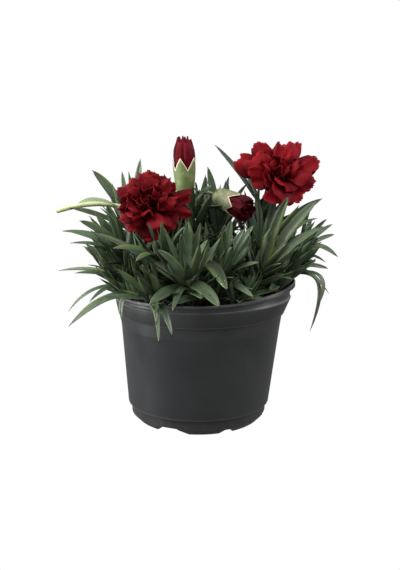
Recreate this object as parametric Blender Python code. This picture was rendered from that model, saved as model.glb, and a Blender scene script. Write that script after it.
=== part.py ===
"""Dianthus plant with dark red double flowers, growing in a black nursery pot.

The origin is on the floor at the pot's axis, +Z is up and the front of the plant is at -Y.
Lengths inside the functions are in millimetres, and MM turns them into metres.
"""
import math
from collections import namedtuple

import bmesh
import bpy
import numpy as np
from mathutils import Vector
from mathutils.bvhtree import BVHTree

MM = 0.001
SEED = 7

# Gap between pieces that touch on the real plant
SEAT_GAP = 0.3
# Room that a leaf keeps to every piece of another stem
LEAF_ROOM = 0.3

# Pot, turned about the Z axis
POT_SIDES = 32
LIP_RADIUS = 74.5
LIP_TOP = 113.5
LIP_BOTTOM = 111.2
# The neck is the recess between the lip and the band
NECK_RADIUS = 71.0
BAND_TOP = 107.0
BAND_TOP_RADIUS = 72.2
BAND_BOTTOM_RADIUS = 69.6
BAND_BOTTOM = 94.0
BODY_TOP_RADIUS = 67.7
BODY_BOTTOM_RADIUS = 62.2
LOWER_STEP = 14.4
HEEL_RADIUS = 59.2
CHAMFER_TOP = 4.8
FOOT_RADIUS = 54.6
FOOT_INNER_RADIUS = 50.0
WALL = 1.6
FLOOR_BOTTOM = 5.0
# The thin wall is pulled out towards +X from some height up, and its lip is pulled up there
LIP_LIFT = 8.0
LIP_FLARE = 10.0
FLARE_START = 30.0
# Drainage notches between the feet: angle from the front towards +X and width, both in degrees,
# and height
NOTCHES = [
    (-24, 30, 6.2), (25, 12, 3.8), (-77, 12, 3.8), (76, 26, 6.2), (-129, 28, 6.2), (129, 12, 3.8),
    (178, 20, 6.2)]
# A notch is this share of its width at its top
NOTCH_TAPER = 0.42
DRAIN_HOLES = 6
DRAIN_HOLE_RADIUS = 5.0
DRAIN_HOLE_CIRCLE = 36.0

# Soil
SOIL_TOP = 90.0
SOIL_DOME = 3.0
ROOT_DEPTH = 10.0
# Leaves start and stems bend only above this height
CLEAR_OF_SOIL = SOIL_TOP + SOIL_DOME + 3.0

# Leaves and stems
STEM_RADIUS = 2.0
STEM_TAPER = 0.12
STEM_SIDES = 4
LEAFY_STEM_BENDS = 2
FLOWER_STEM_BENDS = 3
LEAF_LENGTH = 50.0
LEAF_WIDTH = 8.0
LEAF_ROOT_HALF_WIDTH = 0.5
ROOT_OFFSET = 0.8
# Least angle at which a leaf leaves its stem
LEAVING_ANGLE = math.radians(50)
KEEL_DEPTH = 1.2
ROOT_KEEL_DEPTH = 0.8
# Shares of a leaf's length where its section is drawn: an outline leaf and a plainer filling leaf
OUTLINE_STATIONS = (0.0, 0.3, 0.62, 0.86)
FILL_STATIONS = (0.0, 0.36, 0.8)
# Distances of the leaf pairs down from the crown, and of the outline leaves
PAIR_GAPS = (3.0, 10.0, 18.0, 27.0, 37.0, 48.0)
FIRST_OUTLINE_GAP = 3.0
OUTLINE_GAP_STEP = 2.5
FLOWER_PAIR_GAPS = (22.0, 42.0, 60.0, 76.0)
FLOWER_OUTLINE_GAP = 20.0
CUT_STEM_LEAF_GAP = 52.0
# Half sizes of the box that the whole plant keeps to, and its top
BOX_X, BOX_Y, BOX_TOP = 118.0, 105.0, 243.0
# Outline of the leafy mass as (x, z) on the plane through the pot's axis, as an eye in front sees it.
# Leaves that fill the stems end inside it.
EYE_DISTANCE = 650.0
EYE_HEIGHT = 245.0
MASS_OUTLINE = [
    (-71, 103), (-90, 106), (-82, 117), (-96, 127), (-87, 136), (-99, 150), (-92, 159), (-93, 178),
    (-82, 186), (-74, 188), (-77, 202), (-63, 213), (-33, 218), (-2, 200), (4, 198), (6, 214),
    (11, 214), (13, 198), (23, 206), (35, 198), (32, 213), (53, 223), (86, 213), (104, 188),
    (94, 178), (104, 168), (101, 159), (108, 152), (100, 145), (103, 136), (100, 120), (91, 131),
    (80, 117), (75, 110), (41, 103), (-8, 101), (-18, 72), (-38, 68), (-48, 97)]

# Leafy stems: root on the soil (x, y), crown (x, y, z), number of leaf pairs down from the crown,
# and the leaves that show: tip (x, y, z) and width. A leaf that hangs over has the point (x, y, z)
# that it bends towards after these.
LEAFY_STEMS = [
    ((-8, -40), (-8, -64, 138), 4, [
        (-8, -62, 178, 8), (7, -78, 166, 6.5), (-31, -76, 158, 7), (16, -95, 118, 10), (-19, -99, 116, 5),
        (-36, -93, 120, 9), (-84, -44, 168, 7)]),
    ((12, -34), (19, -56, 140), 4, [
        (36, -58, 172, 6), (44, -50, 174, 6), (26, -52, 178, 7), (46, -84, 150, 4.5),
        (42, -88, 124, 5), (21, -48, 174, 7)]),
    ((34, -30), (54, -48, 141), 4, [
        (94, -45, 193, 9), (71, -46, 196, 7.5), (98, -52, 173, 7), (72, -80, 136, 5), (62, -90, 150, 5)]),
    ((-24, -38), (-36, -66, 124), 3, [
        (-31, -98, 107, 5.5), (-29, -105, 94, 4), (-19, -105, 99, 5), (-32, -97, 114, 8),
        (-44, -88, 148, 6)]),
    ((-18, -24), (-32, -44, 150), 5, [
        (-64, -80, 160, 7), (-46, -90, 152, 7), (-10, -74, 176, 6)]),
    ((-36, -14), (-64, -30, 156), 5, [
        (-94, -46, 177, 6.5), (-112, -20, 166, 8), (-74, -34, 189, 7), (-101, -50, 160, 4.5)]),
    ((-40, -28), (-64, -42, 134), 4, [
        (-116, -24, 133, 4), (-98, -52, 136, 4), (-86, -60, 144, 3.5), (-85, -66, 116, 5),
        (-106, -42, 103, 3.5, -86, -45, 130)]),
    ((-34, -44), (-51, -50, 120), 3, [
        (-102, -62, 96, 7), (-76, -52, 132, 4), (-60, -68, 100, 5, -64, -64, 124)]),
    ((-38, 4), (-60, 12, 172), 5, [
        (-90, 6, 214, 8.5), (-67, 24, 212, 4.5), (-50, 12, 223, 7), (-104, -22, 186, 8)]),
    ((42, -18), (82, -32, 140), 4, [
        (106, -36, 137, 4), (106, -42, 118, 3.5), (96, -56, 111, 3.5, 110, -50, 142),
        (92, -46, 88, 4, 112, -38, 142)]),
    ((44, -2), (94, -8, 154), 5, [
        (118, -12, 143, 5.5), (117, 2, 160, 4), (107, -16, 175, 4.5), (116, 8, 168, 4.5),
        (105, -28, 141, 3.5)]),
    ((14, 2), (18, 6, 172), 5, [
        (8, 0, 217, 7), (26, 4, 209, 4), (-4, 8, 200, 4.5), (42, 10, 203, 4), (30, -8, 197, 4.5)]),
    ((28, -12), (60, -16, 158), 5, [
        (104, -4, 191, 8), (97, -26, 177, 5), (66, 4, 200, 6), (49, 4, 197, 6), (40, -20, 186, 6)]),
    ((-12, 18), (-20, 26, 166), 5, [(-30, 24, 210, 6)]),
    ((-30, 24), (-52, 46, 148), 5, []),
    ((-46, 14), (-80, 26, 134), 5, [(-101, 40, 144, 6)]),
    ((-18, 40), (-28, 66, 136), 5, [(-34, 105, 130, 7)]),
    ((8, 42), (12, 68, 142), 5, [(10, 104, 136, 7)]),
    ((30, 32), (50, 54, 144), 5, [(76, 90, 150, 7)]),
    ((46, 14), (78, 28, 140), 5, [(110, 42, 150, 6)]),
    ((8, 24), (10, 38, 168), 3, [(44, 36, 182, 7), (34, 40, 193, 7), (22, 44, 195, 7)]),
    ((26, -44), (33, -57, 118), 4, [(50, -68, 119, 5), (64, -50, 122, 5), (32, -80, 118, 6)]),
    ((0, -20), (2, -34, 142), 4, [(22, -84, 129, 10, 10, -60, 152), (-14, -62, 172, 6)]),
]

# Flower stems: root on the soil, base of the calyx, direction that the flower faces,
# calyx length, radius at its mouth, number of leaf pairs on the stem and outline leaf tips
FLOWER_STEMS = {
    "flower_stem_left": ((-22, -10), (-38, -10, 178), (-0.05, -0.88, 0.34), 22.0, 7.0, 2, []),
    "flower_stem_right": ((24, 14), (64, 16, 192), (0.08, -0.80, 0.58), 22.0, 7.0, 3, [
        (15, 24, 235, 5), (38, 22, 219, 4)]),
    "flower_stem_upright": ((-6, 4), (-11, 2, 191), (-0.03, -0.04, 1.0), 31.0, 9.5, 4, []),
    "flower_stem_side": ((2, -8), (14, -8, 195), (0.74, -0.60, -0.30), 24.0, 9.4, 3, [
        (-2, -20, 206, 5)]),
}
# Height of the calyx teeth as a share of its length, on an open flower and on a bud
OPEN_TEETH = 0.96
BUD_TEETH = 1.12
# A pruned stem that arches out to the left, with one leaf left on it
CUT_STEM_ROOT = (-26, 12)
CUT_STEM_END = (-118, -18, 182)
CUT_STEM_FACING = (-0.95, -0.25, -0.28)
CUT_STEM_RADIUS = 2.8
CUT_STEM_LEAF_TIP = (-97, -30, 190, 5, -83, -27, 196)
# How far each end of a stem keeps its direction, as a share of the stem's length
STEM_ARCH = 0.4
CUT_STEM_ARCH = 0.55

# Petals of the two open flowers: angle seen from the front (0 is to the right, 90 up),
# opening angle from the flower's axis, length and width
LEFT_OUTER = [
    (12, 84, 36, 13), (-14, 84, 35, 12), (46, 82, 27, 20), (86, 82, 27, 22), (126, 82, 24, 22),
    (166, 84, 22, 22), (206, 84, 23, 22), (246, 82, 27, 22), (282, 84, 31, 22), (320, 82, 29, 20)]
LEFT_INNER_COUNT = 8
RIGHT_OUTER = [
    (156, 82, 38, 24), (120, 76, 34, 20), (64, 84, 39, 15), (22, 84, 38, 20),
    (-12, 82, 31, 18), (-42, 80, 30, 20), (-95, 84, 28, 26), (-150, 72, 21, 18)]
RIGHT_INNER_COUNT = 6
# How far the furled petals stand out of each bud
UPRIGHT_REACH = 21.0
SIDE_REACH = 14.0
FURLED_COUNT = 6
PETAL_THICK = 0.8
# Rows of a petal from its claw to its edge: share of its length and number of points
OPEN_ROWS = ((0.0, 2), (0.55, 3), (1.0, 6))
FURLED_ROWS = ((0.0, 2), (0.55, 3), (1.0, 4))

Leaf = namedtuple("Leaf", "root bend tip face width stations")
Stem = namedtuple("Stem", "curve stations points directions radius turn")
Flower = namedtuple("Flower", "base facing length mouth teeth")
Petal = namedtuple("Petal", "throat bend tip face width ruffle phase rows")
Plant = namedtuple("Plant", "stems leaves flowers petals")


def cubic(points, t):
    """Point on a cubic curve with four control points."""
    a, b, c, d = points
    return a * (1 - t) ** 3 + b * 3 * t * (1 - t) ** 2 + c * 3 * t * t * (1 - t) + d * t ** 3


def cubic_direction(points, t):
    a, b, c, d = points
    slope = (b - a) * (1 - t) ** 2 + (c - b) * 2 * t * (1 - t) + (d - c) * t * t
    return slope.normalized()


def quadratic(a, b, c, s):
    """Point on a quadratic curve with three control points."""
    return a * (1 - s) ** 2 + b * 2 * s * (1 - s) + c * s * s


def quadratic_direction(a, b, c, s):
    return ((b - a) * (1 - s) + (c - b) * s).normalized()


def across(direction, towards):
    """Unit vector square to a direction, and the part of another vector that is square to both."""
    side = direction.cross(towards)
    if side.length < 1e-4:
        side = direction.cross(Vector((0.3, 0.1, 1.0)))
    side.normalize()
    return side, side.cross(direction)


def around(direction):
    """Two unit vectors square to a flower's axis."""
    return across(direction, Vector((0, 0, 1)) if abs(direction.z) < 0.9 else Vector((0, 1, 0)))


def ring_round(centre, frame_vectors, radius, count, start=0.0):
    """Points on a circle."""
    side, up = frame_vectors
    angles = [2 * math.pi * (k + start) / count for k in range(count)]
    return [centre + (side * math.cos(a) + up * math.sin(a)) * radius for a in angles]


def skin(rings):
    """Joins rings of equal count into a closed surface, with a cap or a point at each end."""
    points = [point for ring in rings for point in ring]
    faces = []
    start = 0
    for lower, upper in zip(rings, rings[1:]):
        count = len(lower)
        following = start + count
        for i in range(count):
            j = (i + 1) % count
            if len(upper) == 1:
                faces.append((start + i, start + j, following))
            else:
                faces.append((start + i, start + j, following + j, following + i))
        start = following
    faces.append(tuple(reversed(range(len(rings[0])))))
    if len(rings[-1]) > 1:
        faces.append(tuple(range(start, start + len(rings[-1]))))
    return points, faces


def tip_taper(s):
    """Share of the full width along a leaf that keeps its width and ends in a short blunt point."""
    return max(0.0, 1.0 - max(0.0, (s - 0.58) / 0.42) ** 2.1) ** 0.75


def leaf_half_width(s, width):
    """A strap-like leaf with a narrow root."""
    if s < 0.3:
        return LEAF_ROOT_HALF_WIDTH + (0.5 * width - LEAF_ROOT_HALF_WIDTH) * s / 0.3
    return 0.5 * width * tip_taper(s)


def leaf_shape(leaf, grow=0.0):
    """The blade as a closed solid, keeled below. A test blade grows by the room it must keep."""
    rings = []
    for s in leaf.stations:
        centre = quadratic(leaf.root, leaf.bend, leaf.tip, s)
        side, up = across(quadratic_direction(leaf.root, leaf.bend, leaf.tip, s), leaf.face)
        half = leaf_half_width(s, leaf.width)
        keel = (KEEL_DEPTH if s else ROOT_KEEL_DEPTH) + grow
        edge = up * (0.2 * half)
        reach = side * (half + grow)
        ring = [centre - reach + edge, centre - up * keel, centre + reach + edge]
        if grow:
            ring.append(centre + edge + up * grow)
        rings.append(ring)
    rings.append([leaf.tip + quadratic_direction(leaf.root, leaf.bend, leaf.tip, 1.0) * grow])
    return skin(rings)


def stem_frame(direction, turn):
    """Unit vectors across a stem, turned about it so that its flat sides face the leaf pairs."""
    return across(direction, Vector((math.sin(turn), math.cos(turn), 0.0)))


def make_stem(root, end, direction, radius, turn, bends, arch):
    """A stem that leaves the soil upright, stays straight in it and ends in a given direction."""
    stiffness = arch * (end - root).length
    curve = [root, root + Vector((0, 0, stiffness)), end - direction * stiffness, end]
    above = 0.0
    while cubic(curve, above).z < CLEAR_OF_SOIL:
        above += 0.01
    stations = [0.0] + [above + (1 - above) * k / bends for k in range(bends + 1)]
    points = [cubic(curve, t) for t in stations]
    directions = [cubic_direction(curve, t) for t in stations]
    return Stem(curve, stations, points, directions, radius, turn)


def stem_at(stem, distance):
    """Point and direction on a stem at a distance back from its end."""
    for above, below in zip(reversed(stem.points), reversed(stem.points[:-1])):
        span = below - above
        if distance <= span.length:
            return above + span.normalized() * distance, -span.normalized()
        distance -= span.length
    return stem.points[0], stem.directions[0]


def stem_ring(stem, index, grow=0.0):
    taper = 1 - STEM_TAPER * index / (len(stem.points) - 1)
    frame_vectors = stem_frame(stem.directions[index], stem.turn)
    return ring_round(stem.points[index], frame_vectors, stem.radius * taper + grow, STEM_SIDES, 0.5)


def stem_shape(stem, grow=0.0):
    return skin([stem_ring(stem, index, grow) for index in range(len(stem.points))])


def test_tree(shape):
    points, faces = shape
    return BVHTree.FromPolygons([Vector(point) for point in points], faces)


class Thicket:
    """Remembers every placed piece, so that a new leaf can be tested against the others."""

    def __init__(self):
        self.trees = {}

    def add(self, node, shape):
        self.trees.setdefault(node, []).append(test_tree(shape))

    def is_clear(self, node, shape):
        probe = test_tree(shape)
        for other, trees in self.trees.items():
            if other == node:
                continue
            if any(tree.overlap(probe) for tree in trees):
                return False
        return True

    def place(self, node, tries):
        """Takes the first of the tried leaves that stays clear of every other node."""
        for leaf in tries:
            shape = leaf_shape(leaf, LEAF_ROOM)
            if inside_limits(leaf) and self.is_clear(node, shape):
                self.add(node, shape)
                return [leaf]
        return []


def inside_outline(point):
    """Whether a point lies inside the outline of the leafy mass, by the crossings to its right."""
    nearness = EYE_DISTANCE / (EYE_DISTANCE + point.y)
    x, z = point.x * nearness, EYE_HEIGHT + (point.z - EYE_HEIGHT) * nearness
    inside = False
    for (x0, z0), (x1, z1) in zip(MASS_OUTLINE, MASS_OUTLINE[1:] + MASS_OUTLINE[:1]):
        if (z0 > z) != (z1 > z) and x < x0 + (x1 - x0) * (z - z0) / (z1 - z0):
            inside = not inside
    return inside


def inside_limits(leaf):
    for s in (0.5, 0.8, 1.0):
        point = quadratic(leaf.root, leaf.bend, leaf.tip, s)
        if abs(point.x) > BOX_X or abs(point.y) > BOX_Y or point.z > BOX_TOP:
            return False
        if leaf.stations == FILL_STATIONS and not inside_outline(point):
            return False
    return True


def outline_leaf_tries(root, drawn, stem_direction):
    """A leaf to a given tip, then the same leaf at other depths, bows and lengths."""
    tip, width = Vector(drawn[:3]), drawn[3]
    drawn_bend = Vector(drawn[4:]) if len(drawn) > 4 else None
    for shorten in (1.0, 0.93, 0.86, 0.78):
        for shift in (0, 4, -4, 8, -8, 12, -12, 17, -17):
            for bow in (0.14, 0.22, 0.07, 0.30):
                end = root + (tip + Vector((0, shift, 0)) - root) * shorten
                span = end - root
                start = root + span.normalized() * ROOT_OFFSET
                drop = max(0.0, root.z - end.z)
                rise = Vector((0, 0, 1)) * (bow * span.length + 0.45 * drop)
                bend = root + span * 0.45 + rise
                if drawn_bend:
                    bend = drawn_bend + Vector((0, 0.7 * shift, 60 * (bow - 0.14)))
                face = stem_direction * 0.4 + Vector((0, -0.8, 0.7))
                yield Leaf(start, bend, end, face, width, OUTLINE_STATIONS)


def pair_leaf_tries(root, stem_direction, frame_vectors, azimuth, spread, length, droop, width):
    """A leaf of an opposite pair, then the same leaf turned, raised and shortened."""
    side, up = frame_vectors
    for step in range(28):
        turn = azimuth + math.radians(7) * ((step + 1) // 2) * (1 if step % 2 else -1)
        tilt = spread * (1.0 - 0.12 * (step % 4))
        reach = length * (1.0 - 0.015 * step)
        outward = side * math.cos(turn) + up * math.sin(turn)
        leaving = max(LEAVING_ANGLE, 0.6 * tilt)
        start = stem_direction * math.cos(leaving) + outward * math.sin(leaving)
        finish = stem_direction * math.cos(tilt) + outward * math.sin(tilt)
        tip = root + finish * reach - Vector((0, 0, droop * reach))
        bend = root + start * (0.33 * reach)
        yield Leaf(root + outward * ROOT_OFFSET, bend, tip, stem_direction, width, FILL_STATIONS)


def turned(profile, sides):
    """Rings of points round the Z axis for a list of (radius, height)."""
    rings = []
    for radius, height in profile:
        angles = [2 * math.pi * k / sides for k in range(sides)]
        rings.append([Vector((radius * math.sin(a), -radius * math.cos(a), height)) for a in angles])
    return rings


def pot_profile():
    """Section of the pot wall, from its underside out, up and back down inside, in two halves."""
    outside = [
        (FOOT_INNER_RADIUS, FLOOR_BOTTOM), (FOOT_INNER_RADIUS, 0.0), (FOOT_RADIUS, 0.0),
        (HEEL_RADIUS, CHAMFER_TOP), (HEEL_RADIUS + 0.4, LOWER_STEP - 1.4),
        (BODY_BOTTOM_RADIUS, LOWER_STEP), (BODY_TOP_RADIUS, BAND_BOTTOM - 0.8),
        (BAND_BOTTOM_RADIUS, BAND_BOTTOM), (BAND_TOP_RADIUS, BAND_TOP), (NECK_RADIUS, BAND_TOP + 0.9),
        (NECK_RADIUS, LIP_BOTTOM), (LIP_RADIUS, LIP_BOTTOM + 0.3), (LIP_RADIUS - 0.4, LIP_TOP - 0.3)]
    inside = [
        (LIP_RADIUS - 1.6, LIP_TOP), (NECK_RADIUS - WALL, LIP_BOTTOM - 0.5),
        (NECK_RADIUS - WALL, BAND_TOP),
        (BAND_BOTTOM_RADIUS - WALL, BAND_BOTTOM), (BODY_BOTTOM_RADIUS - WALL, LOWER_STEP + 0.6),
        (HEEL_RADIUS - WALL, LOWER_STEP - 1.0), (HEEL_RADIUS - WALL, FLOOR_BOTTOM + WALL)]
    return outside, inside


def lift_lip(point):
    """Flares the wall and raises the lip on the +X side, where the thin plastic is pulled out."""
    radius = math.hypot(point.x, point.y)
    if point.z <= FLARE_START or radius < 1.0:
        return point
    facing = max(0.0, point.x / radius)
    flared = LIP_FLARE * facing ** 4 * ((point.z - FLARE_START) / (LIP_TOP - FLARE_START)) ** 2.5
    lifted = LIP_LIFT * facing ** 2 * max(0.0, (point.z - BAND_TOP) / (LIP_TOP - BAND_TOP))
    spread = 1.0 + flared / radius
    return Vector((point.x * spread, point.y * spread, point.z + lifted))


def pot_shape():
    outside, inside = pot_profile()
    return skin([[lift_lip(point) for point in ring] for ring in turned(outside + inside, POT_SIDES)])


def soil_height(x, y):
    """A low dome with soft lumps."""
    radius = math.hypot(x, y)
    lumps = 0.8 * math.sin(x / 6.1 + 0.7) * math.cos(y / 7.3) + 0.5 * math.sin((x - y) / 4.3)
    return SOIL_TOP + SOIL_DOME * (1 - (radius / BODY_TOP_RADIUS) ** 2) + lumps


def soil_rings(radii, sides):
    """Rings of points on the soil's surface, from the rim to the middle."""
    rings = []
    for radius in radii:
        flat = turned([(radius, 0.0)], sides)[0]
        rings.append([Vector((p.x, p.y, soil_height(p.x, p.y))) for p in flat])
    rings.append([Vector((0, 0, soil_height(0, 0)))])
    return rings


def calyx_shape(flower):
    """A ribbed cup that ends in five pointed teeth and holds the petals."""
    base, direction, length, mouth, teeth = flower
    frame_vectors = around(direction)

    def ring(along, radius, tooth_along=None, tooth_radius=None):
        points = ring_round(base + direction * along, frame_vectors, radius, 10)
        if tooth_along is not None:
            tips = ring_round(base + direction * tooth_along, frame_vectors, tooth_radius, 10)
            points[::2] = tips[::2]
        return points

    return skin([
        ring(-1.0, 1.2), ring(1.5, 0.62 * mouth), ring(0.35 * length, 0.84 * mouth),
        ring(0.72 * length, 0.97 * mouth),
        ring(0.86 * length, mouth, teeth * length, mouth + 0.9),
        ring(0.86 * length, mouth - 0.9, teeth * length, mouth - 0.1),
        ring(0.6 * length, 0.97 * mouth - 0.9), ring(0.5 * length, 0.9 * mouth - 0.9)])


def core_shape(flower):
    """The packed petal bases inside the cup."""
    base, direction, length, mouth, _ = flower
    frame_vectors = around(direction)
    rings = []
    for along, radius in ((0.5 * length + SEAT_GAP, 0.9 * mouth - 1.4),
                          (0.6 * length, 0.97 * mouth - 1.5), (1.06 * length, mouth - 1.7)):
        rings.append(ring_round(base + direction * along, frame_vectors, radius, 10))
    rings.append([base + direction * (1.25 * length)])
    return skin(rings)


def petal_point(petal, s, t):
    """Middle surface of a petal: s runs from the claw to the edge, t from side to side."""
    centre = quadratic(petal.throat, petal.bend, petal.tip, s)
    direction = quadratic_direction(petal.throat, petal.bend, petal.tip, s)
    side, up = across(direction, petal.face)
    half = petal.width * (0.10 + 0.40 * min(1.0, s / 0.8) ** 1.4)
    wave = petal.ruffle * s * s * math.sin(5.2 * t + petal.phase)
    curl = -0.10 * petal.width * t * t * s
    return centre + side * (half * t) + up * (wave + curl), up


def petal_shape(petal):
    """A fan with a toothed edge. Both faces are split into triangles alike."""
    rows = petal.rows
    top, bottom, starts = [], [], []
    for index, (s, count) in enumerate(rows):
        starts.append(len(top))
        for k in range(count):
            t = -1 + 2 * k / (count - 1)
            along = s
            if index == len(rows) - 1:
                along = s - 0.10 * t * t + (0.03 if k % 2 else -0.05)
            point, up = petal_point(petal, along, t)
            top.append(point + up * (PETAL_THICK / 2))
            bottom.append(point - up * (PETAL_THICK / 2))
    triangles = []
    for (start, (_, count)), (following, (_, wide)) in zip(
            zip(starts, rows), zip(starts[1:], rows[1:])):
        i = j = 0
        while i < count - 1 or j < wide - 1:
            if j < wide - 1 and (i == count - 1 or (j + 1) * (count - 1) <= (i + 1) * (wide - 1)):
                triangles.append((start + i, following + j, following + j + 1))
                j += 1
            else:
                triangles.append((start + i, following + j, start + i + 1))
                i += 1
    total = len(top)
    faces = list(triangles)
    faces += [tuple(total + index for index in reversed(face)) for face in triangles]
    border = list(range(rows[0][1]))
    border += [starts[i] + rows[i][1] - 1 for i in range(1, len(rows))]
    border += [starts[-1] + k for k in range(rows[-1][1] - 2, -1, -1)]
    border += [starts[i] for i in range(len(rows) - 2, 0, -1)]
    for a, b in zip(border, border[1:] + border[:1]):
        faces.append((a, b, total + b, total + a))
    return top + bottom, faces


def bloom_petals(flower, outer, inner_count, random):
    """Petals in layers round the throat, the outer ones spread flat and the inner ones upright."""
    base, direction, length, mouth, _ = flower
    side = (Vector((1, 0, 0)) - direction * direction.x).normalized()
    up = direction.cross(side)
    plans = []
    for k, (angle, opening, reach, width) in enumerate(outer):
        plans.append((math.radians(angle), math.radians(opening), reach, width, 1.2, 2.2 * (k % 2)))
    for k in range(inner_count):
        angle = 2 * math.pi * (k / inner_count * 2.0) + random.uniform(-0.2, 0.2)
        share = k / max(1, inner_count - 1)
        opening = math.radians(64 - 50 * share + random.uniform(-5, 5))
        plans.append((angle, opening, 25 - 7 * share, 18 - 4 * share, 2.0, 4.0))
    petals = []
    for angle, opening, reach, width, ruffle, layer in plans:
        outward = side * math.cos(angle) + up * math.sin(angle)
        rise = direction * (6.0 + layer)
        claw = 0.5 * mouth * math.sin(opening)
        throat = base + direction * (1.02 * length) + outward * claw
        tip = throat + rise + outward * (reach * math.sin(opening) - claw) + direction * (
            reach * math.cos(opening) - 1.0)
        bend = throat + rise + outward * (0.25 * reach)
        face = direction - outward * 0.2
        phase = random.uniform(0, 2 * math.pi)
        petals.append(Petal(throat, bend, tip, face, width, ruffle, phase, OPEN_ROWS))
    return petals


def bud_petals(flower, reach, random):
    """Furled petals that stand out of the calyx in a tight, ragged bunch."""
    base, direction, length, mouth, _ = flower
    side, up = around(direction)
    petals = []
    for k in range(FURLED_COUNT):
        angle = 2 * math.pi * k / FURLED_COUNT + random.uniform(-0.2, 0.2)
        outward = side * math.cos(angle) + up * math.sin(angle)
        spread = mouth * (0.85 if k % 2 else 0.5)
        tip = base + direction * (length + reach * random.uniform(0.93, 1.03)) + outward * spread
        throat = base + direction * (0.85 * length) + outward * (0.4 * mouth)
        bend = base + direction * (length + 0.3 * reach) + outward * (spread * 1.45)
        phase = random.uniform(0, 2 * math.pi)
        petals.append(Petal(throat, bend, tip, -outward, 1.25 * mouth, 0.5, phase, FURLED_ROWS))
    return petals


def grow_plant(thicket):
    """Places every stem, flower and leaf by the same rule and the same seeded draws."""
    random = np.random.default_rng(SEED)
    stems = {}

    def add_stem(node, root_xy, end, direction, radius, bends, arch=STEM_ARCH):
        x, y = root_xy
        root = Vector((x, y, soil_height(x, y) - ROOT_DEPTH))
        turn = random.uniform(0, math.pi / 2)
        stems[node] = make_stem(root, Vector(end), direction.normalized(), radius, turn, bends, arch)
        thicket.add(node, stem_shape(stems[node], LEAF_ROOM))

    thicket.add("pot", pot_shape())
    flowers = {}
    for node, (root, base, facing, length, mouth, _, _) in FLOWER_STEMS.items():
        facing = Vector(facing).normalized()
        add_stem(node, root, base, facing, STEM_RADIUS, FLOWER_STEM_BENDS)
        teeth = OPEN_TEETH if node in ("flower_stem_left", "flower_stem_right") else BUD_TEETH
        flowers[node] = Flower(Vector(base), facing, length, mouth, teeth)
        thicket.add(node, calyx_shape(flowers[node]))
    petals = {
        "bloom_left": bloom_petals(flowers["flower_stem_left"], LEFT_OUTER, LEFT_INNER_COUNT, random),
        "bloom_right": bloom_petals(flowers["flower_stem_right"], RIGHT_OUTER, RIGHT_INNER_COUNT, random),
        "bud_upright": bud_petals(flowers["flower_stem_upright"], UPRIGHT_REACH, random),
        "bud_side": bud_petals(flowers["flower_stem_side"], SIDE_REACH, random),
    }
    for node, several in petals.items():
        thicket.add(node, core_shape(flowers[flower_stem_of(node)]))
        for petal in several:
            thicket.add(node, petal_shape(petal))

    add_stem("cut_stem", CUT_STEM_ROOT, CUT_STEM_END, Vector(CUT_STEM_FACING), CUT_STEM_RADIUS,
             FLOWER_STEM_BENDS, CUT_STEM_ARCH)
    for i, (root, crown, _, _) in enumerate(LEAFY_STEMS, start=1):
        lean = Vector(crown) - Vector((*root, SOIL_TOP - 20))
        add_stem(f"leafy_stem_{i:02d}", root, crown, lean, STEM_RADIUS, LEAFY_STEM_BENDS)
    thicket.add("soil", skin(soil_rings((66, 44, 22), 24)))

    # Leaves at the outline come first, then the pairs that fill each stem
    leaves = {node: [] for node in stems}
    outline_tips = {}
    pair_gaps = {}
    for i, (_, _, pairs, tips) in enumerate(LEAFY_STEMS, start=1):
        outline_tips[f"leafy_stem_{i:02d}"] = (tips, FIRST_OUTLINE_GAP)
        pair_gaps[f"leafy_stem_{i:02d}"] = PAIR_GAPS[:pairs]
    for node, (_, _, _, _, _, pairs, tips) in FLOWER_STEMS.items():
        outline_tips[node] = (tips, FLOWER_OUTLINE_GAP)
        pair_gaps[node] = FLOWER_PAIR_GAPS[:pairs]
    outline_tips["cut_stem"] = ([CUT_STEM_LEAF_TIP], CUT_STEM_LEAF_GAP)
    for node, (tips, gap) in outline_tips.items():
        for k, tip in enumerate(tips):
            root, direction = stem_at(stems[node], gap + OUTLINE_GAP_STEP * k)
            leaves[node] += thicket.place(node, outline_leaf_tries(root, tip, direction))
    for node, gaps in pair_gaps.items():
        for k, gap in enumerate(gaps):
            root, direction = stem_at(stems[node], gap)
            if root.z < CLEAR_OF_SOIL:
                continue
            frame_vectors = stem_frame(direction, stems[node].turn)
            share = k / max(1, len(gaps) - 1)
            for half_turn in (0, math.pi):
                azimuth = k * math.pi / 2 + half_turn + random.uniform(-0.12, 0.12)
                spread = math.radians(22 + 48 * share + random.uniform(-6, 8))
                length = LEAF_LENGTH * random.uniform(0.82, 1.12) * (0.85 + 0.2 * share)
                width = LEAF_WIDTH * random.uniform(0.7, 1.0)
                droop = 0.05 + 0.18 * share
                tries = pair_leaf_tries(root, direction, frame_vectors, azimuth, spread, length, droop, width)
                leaves[node] += thicket.place(node, tries)
    return Plant(stems, leaves, flowers, petals)


def flower_stem_of(bloom):
    """Name of the stem that carries a bloom or bud."""
    return "flower_stem_" + bloom.split("_")[1]


# Solids

PLASTIC_BLACK = (0.020, 0.020, 0.021)
SOIL_BROWN = (0.022, 0.014, 0.009)
LEAF_GREEN = (0.052, 0.092, 0.052)
STEM_GREEN = (0.150, 0.200, 0.085)
PETAL_RED = (0.170, 0.004, 0.010)
SOIL_SIDES = 20
DRAIN_HOLE_SIDES = 8
# The hole round a stem is this much larger at its corners, about 0.3 mm at its sides
HOLE_ROOM = 0.45


def make_material(name, colour, roughness):
    material = bpy.data.materials.new(name)
    material.use_nodes = True
    shader = material.node_tree.nodes["Principled BSDF"]
    shader.inputs["Base Color"].default_value = (*colour, 1.0)
    shader.inputs["Roughness"].default_value = roughness
    shader.inputs["Metallic"].default_value = 0.0
    material.diffuse_color = (*colour, 1.0)
    return material


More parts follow.
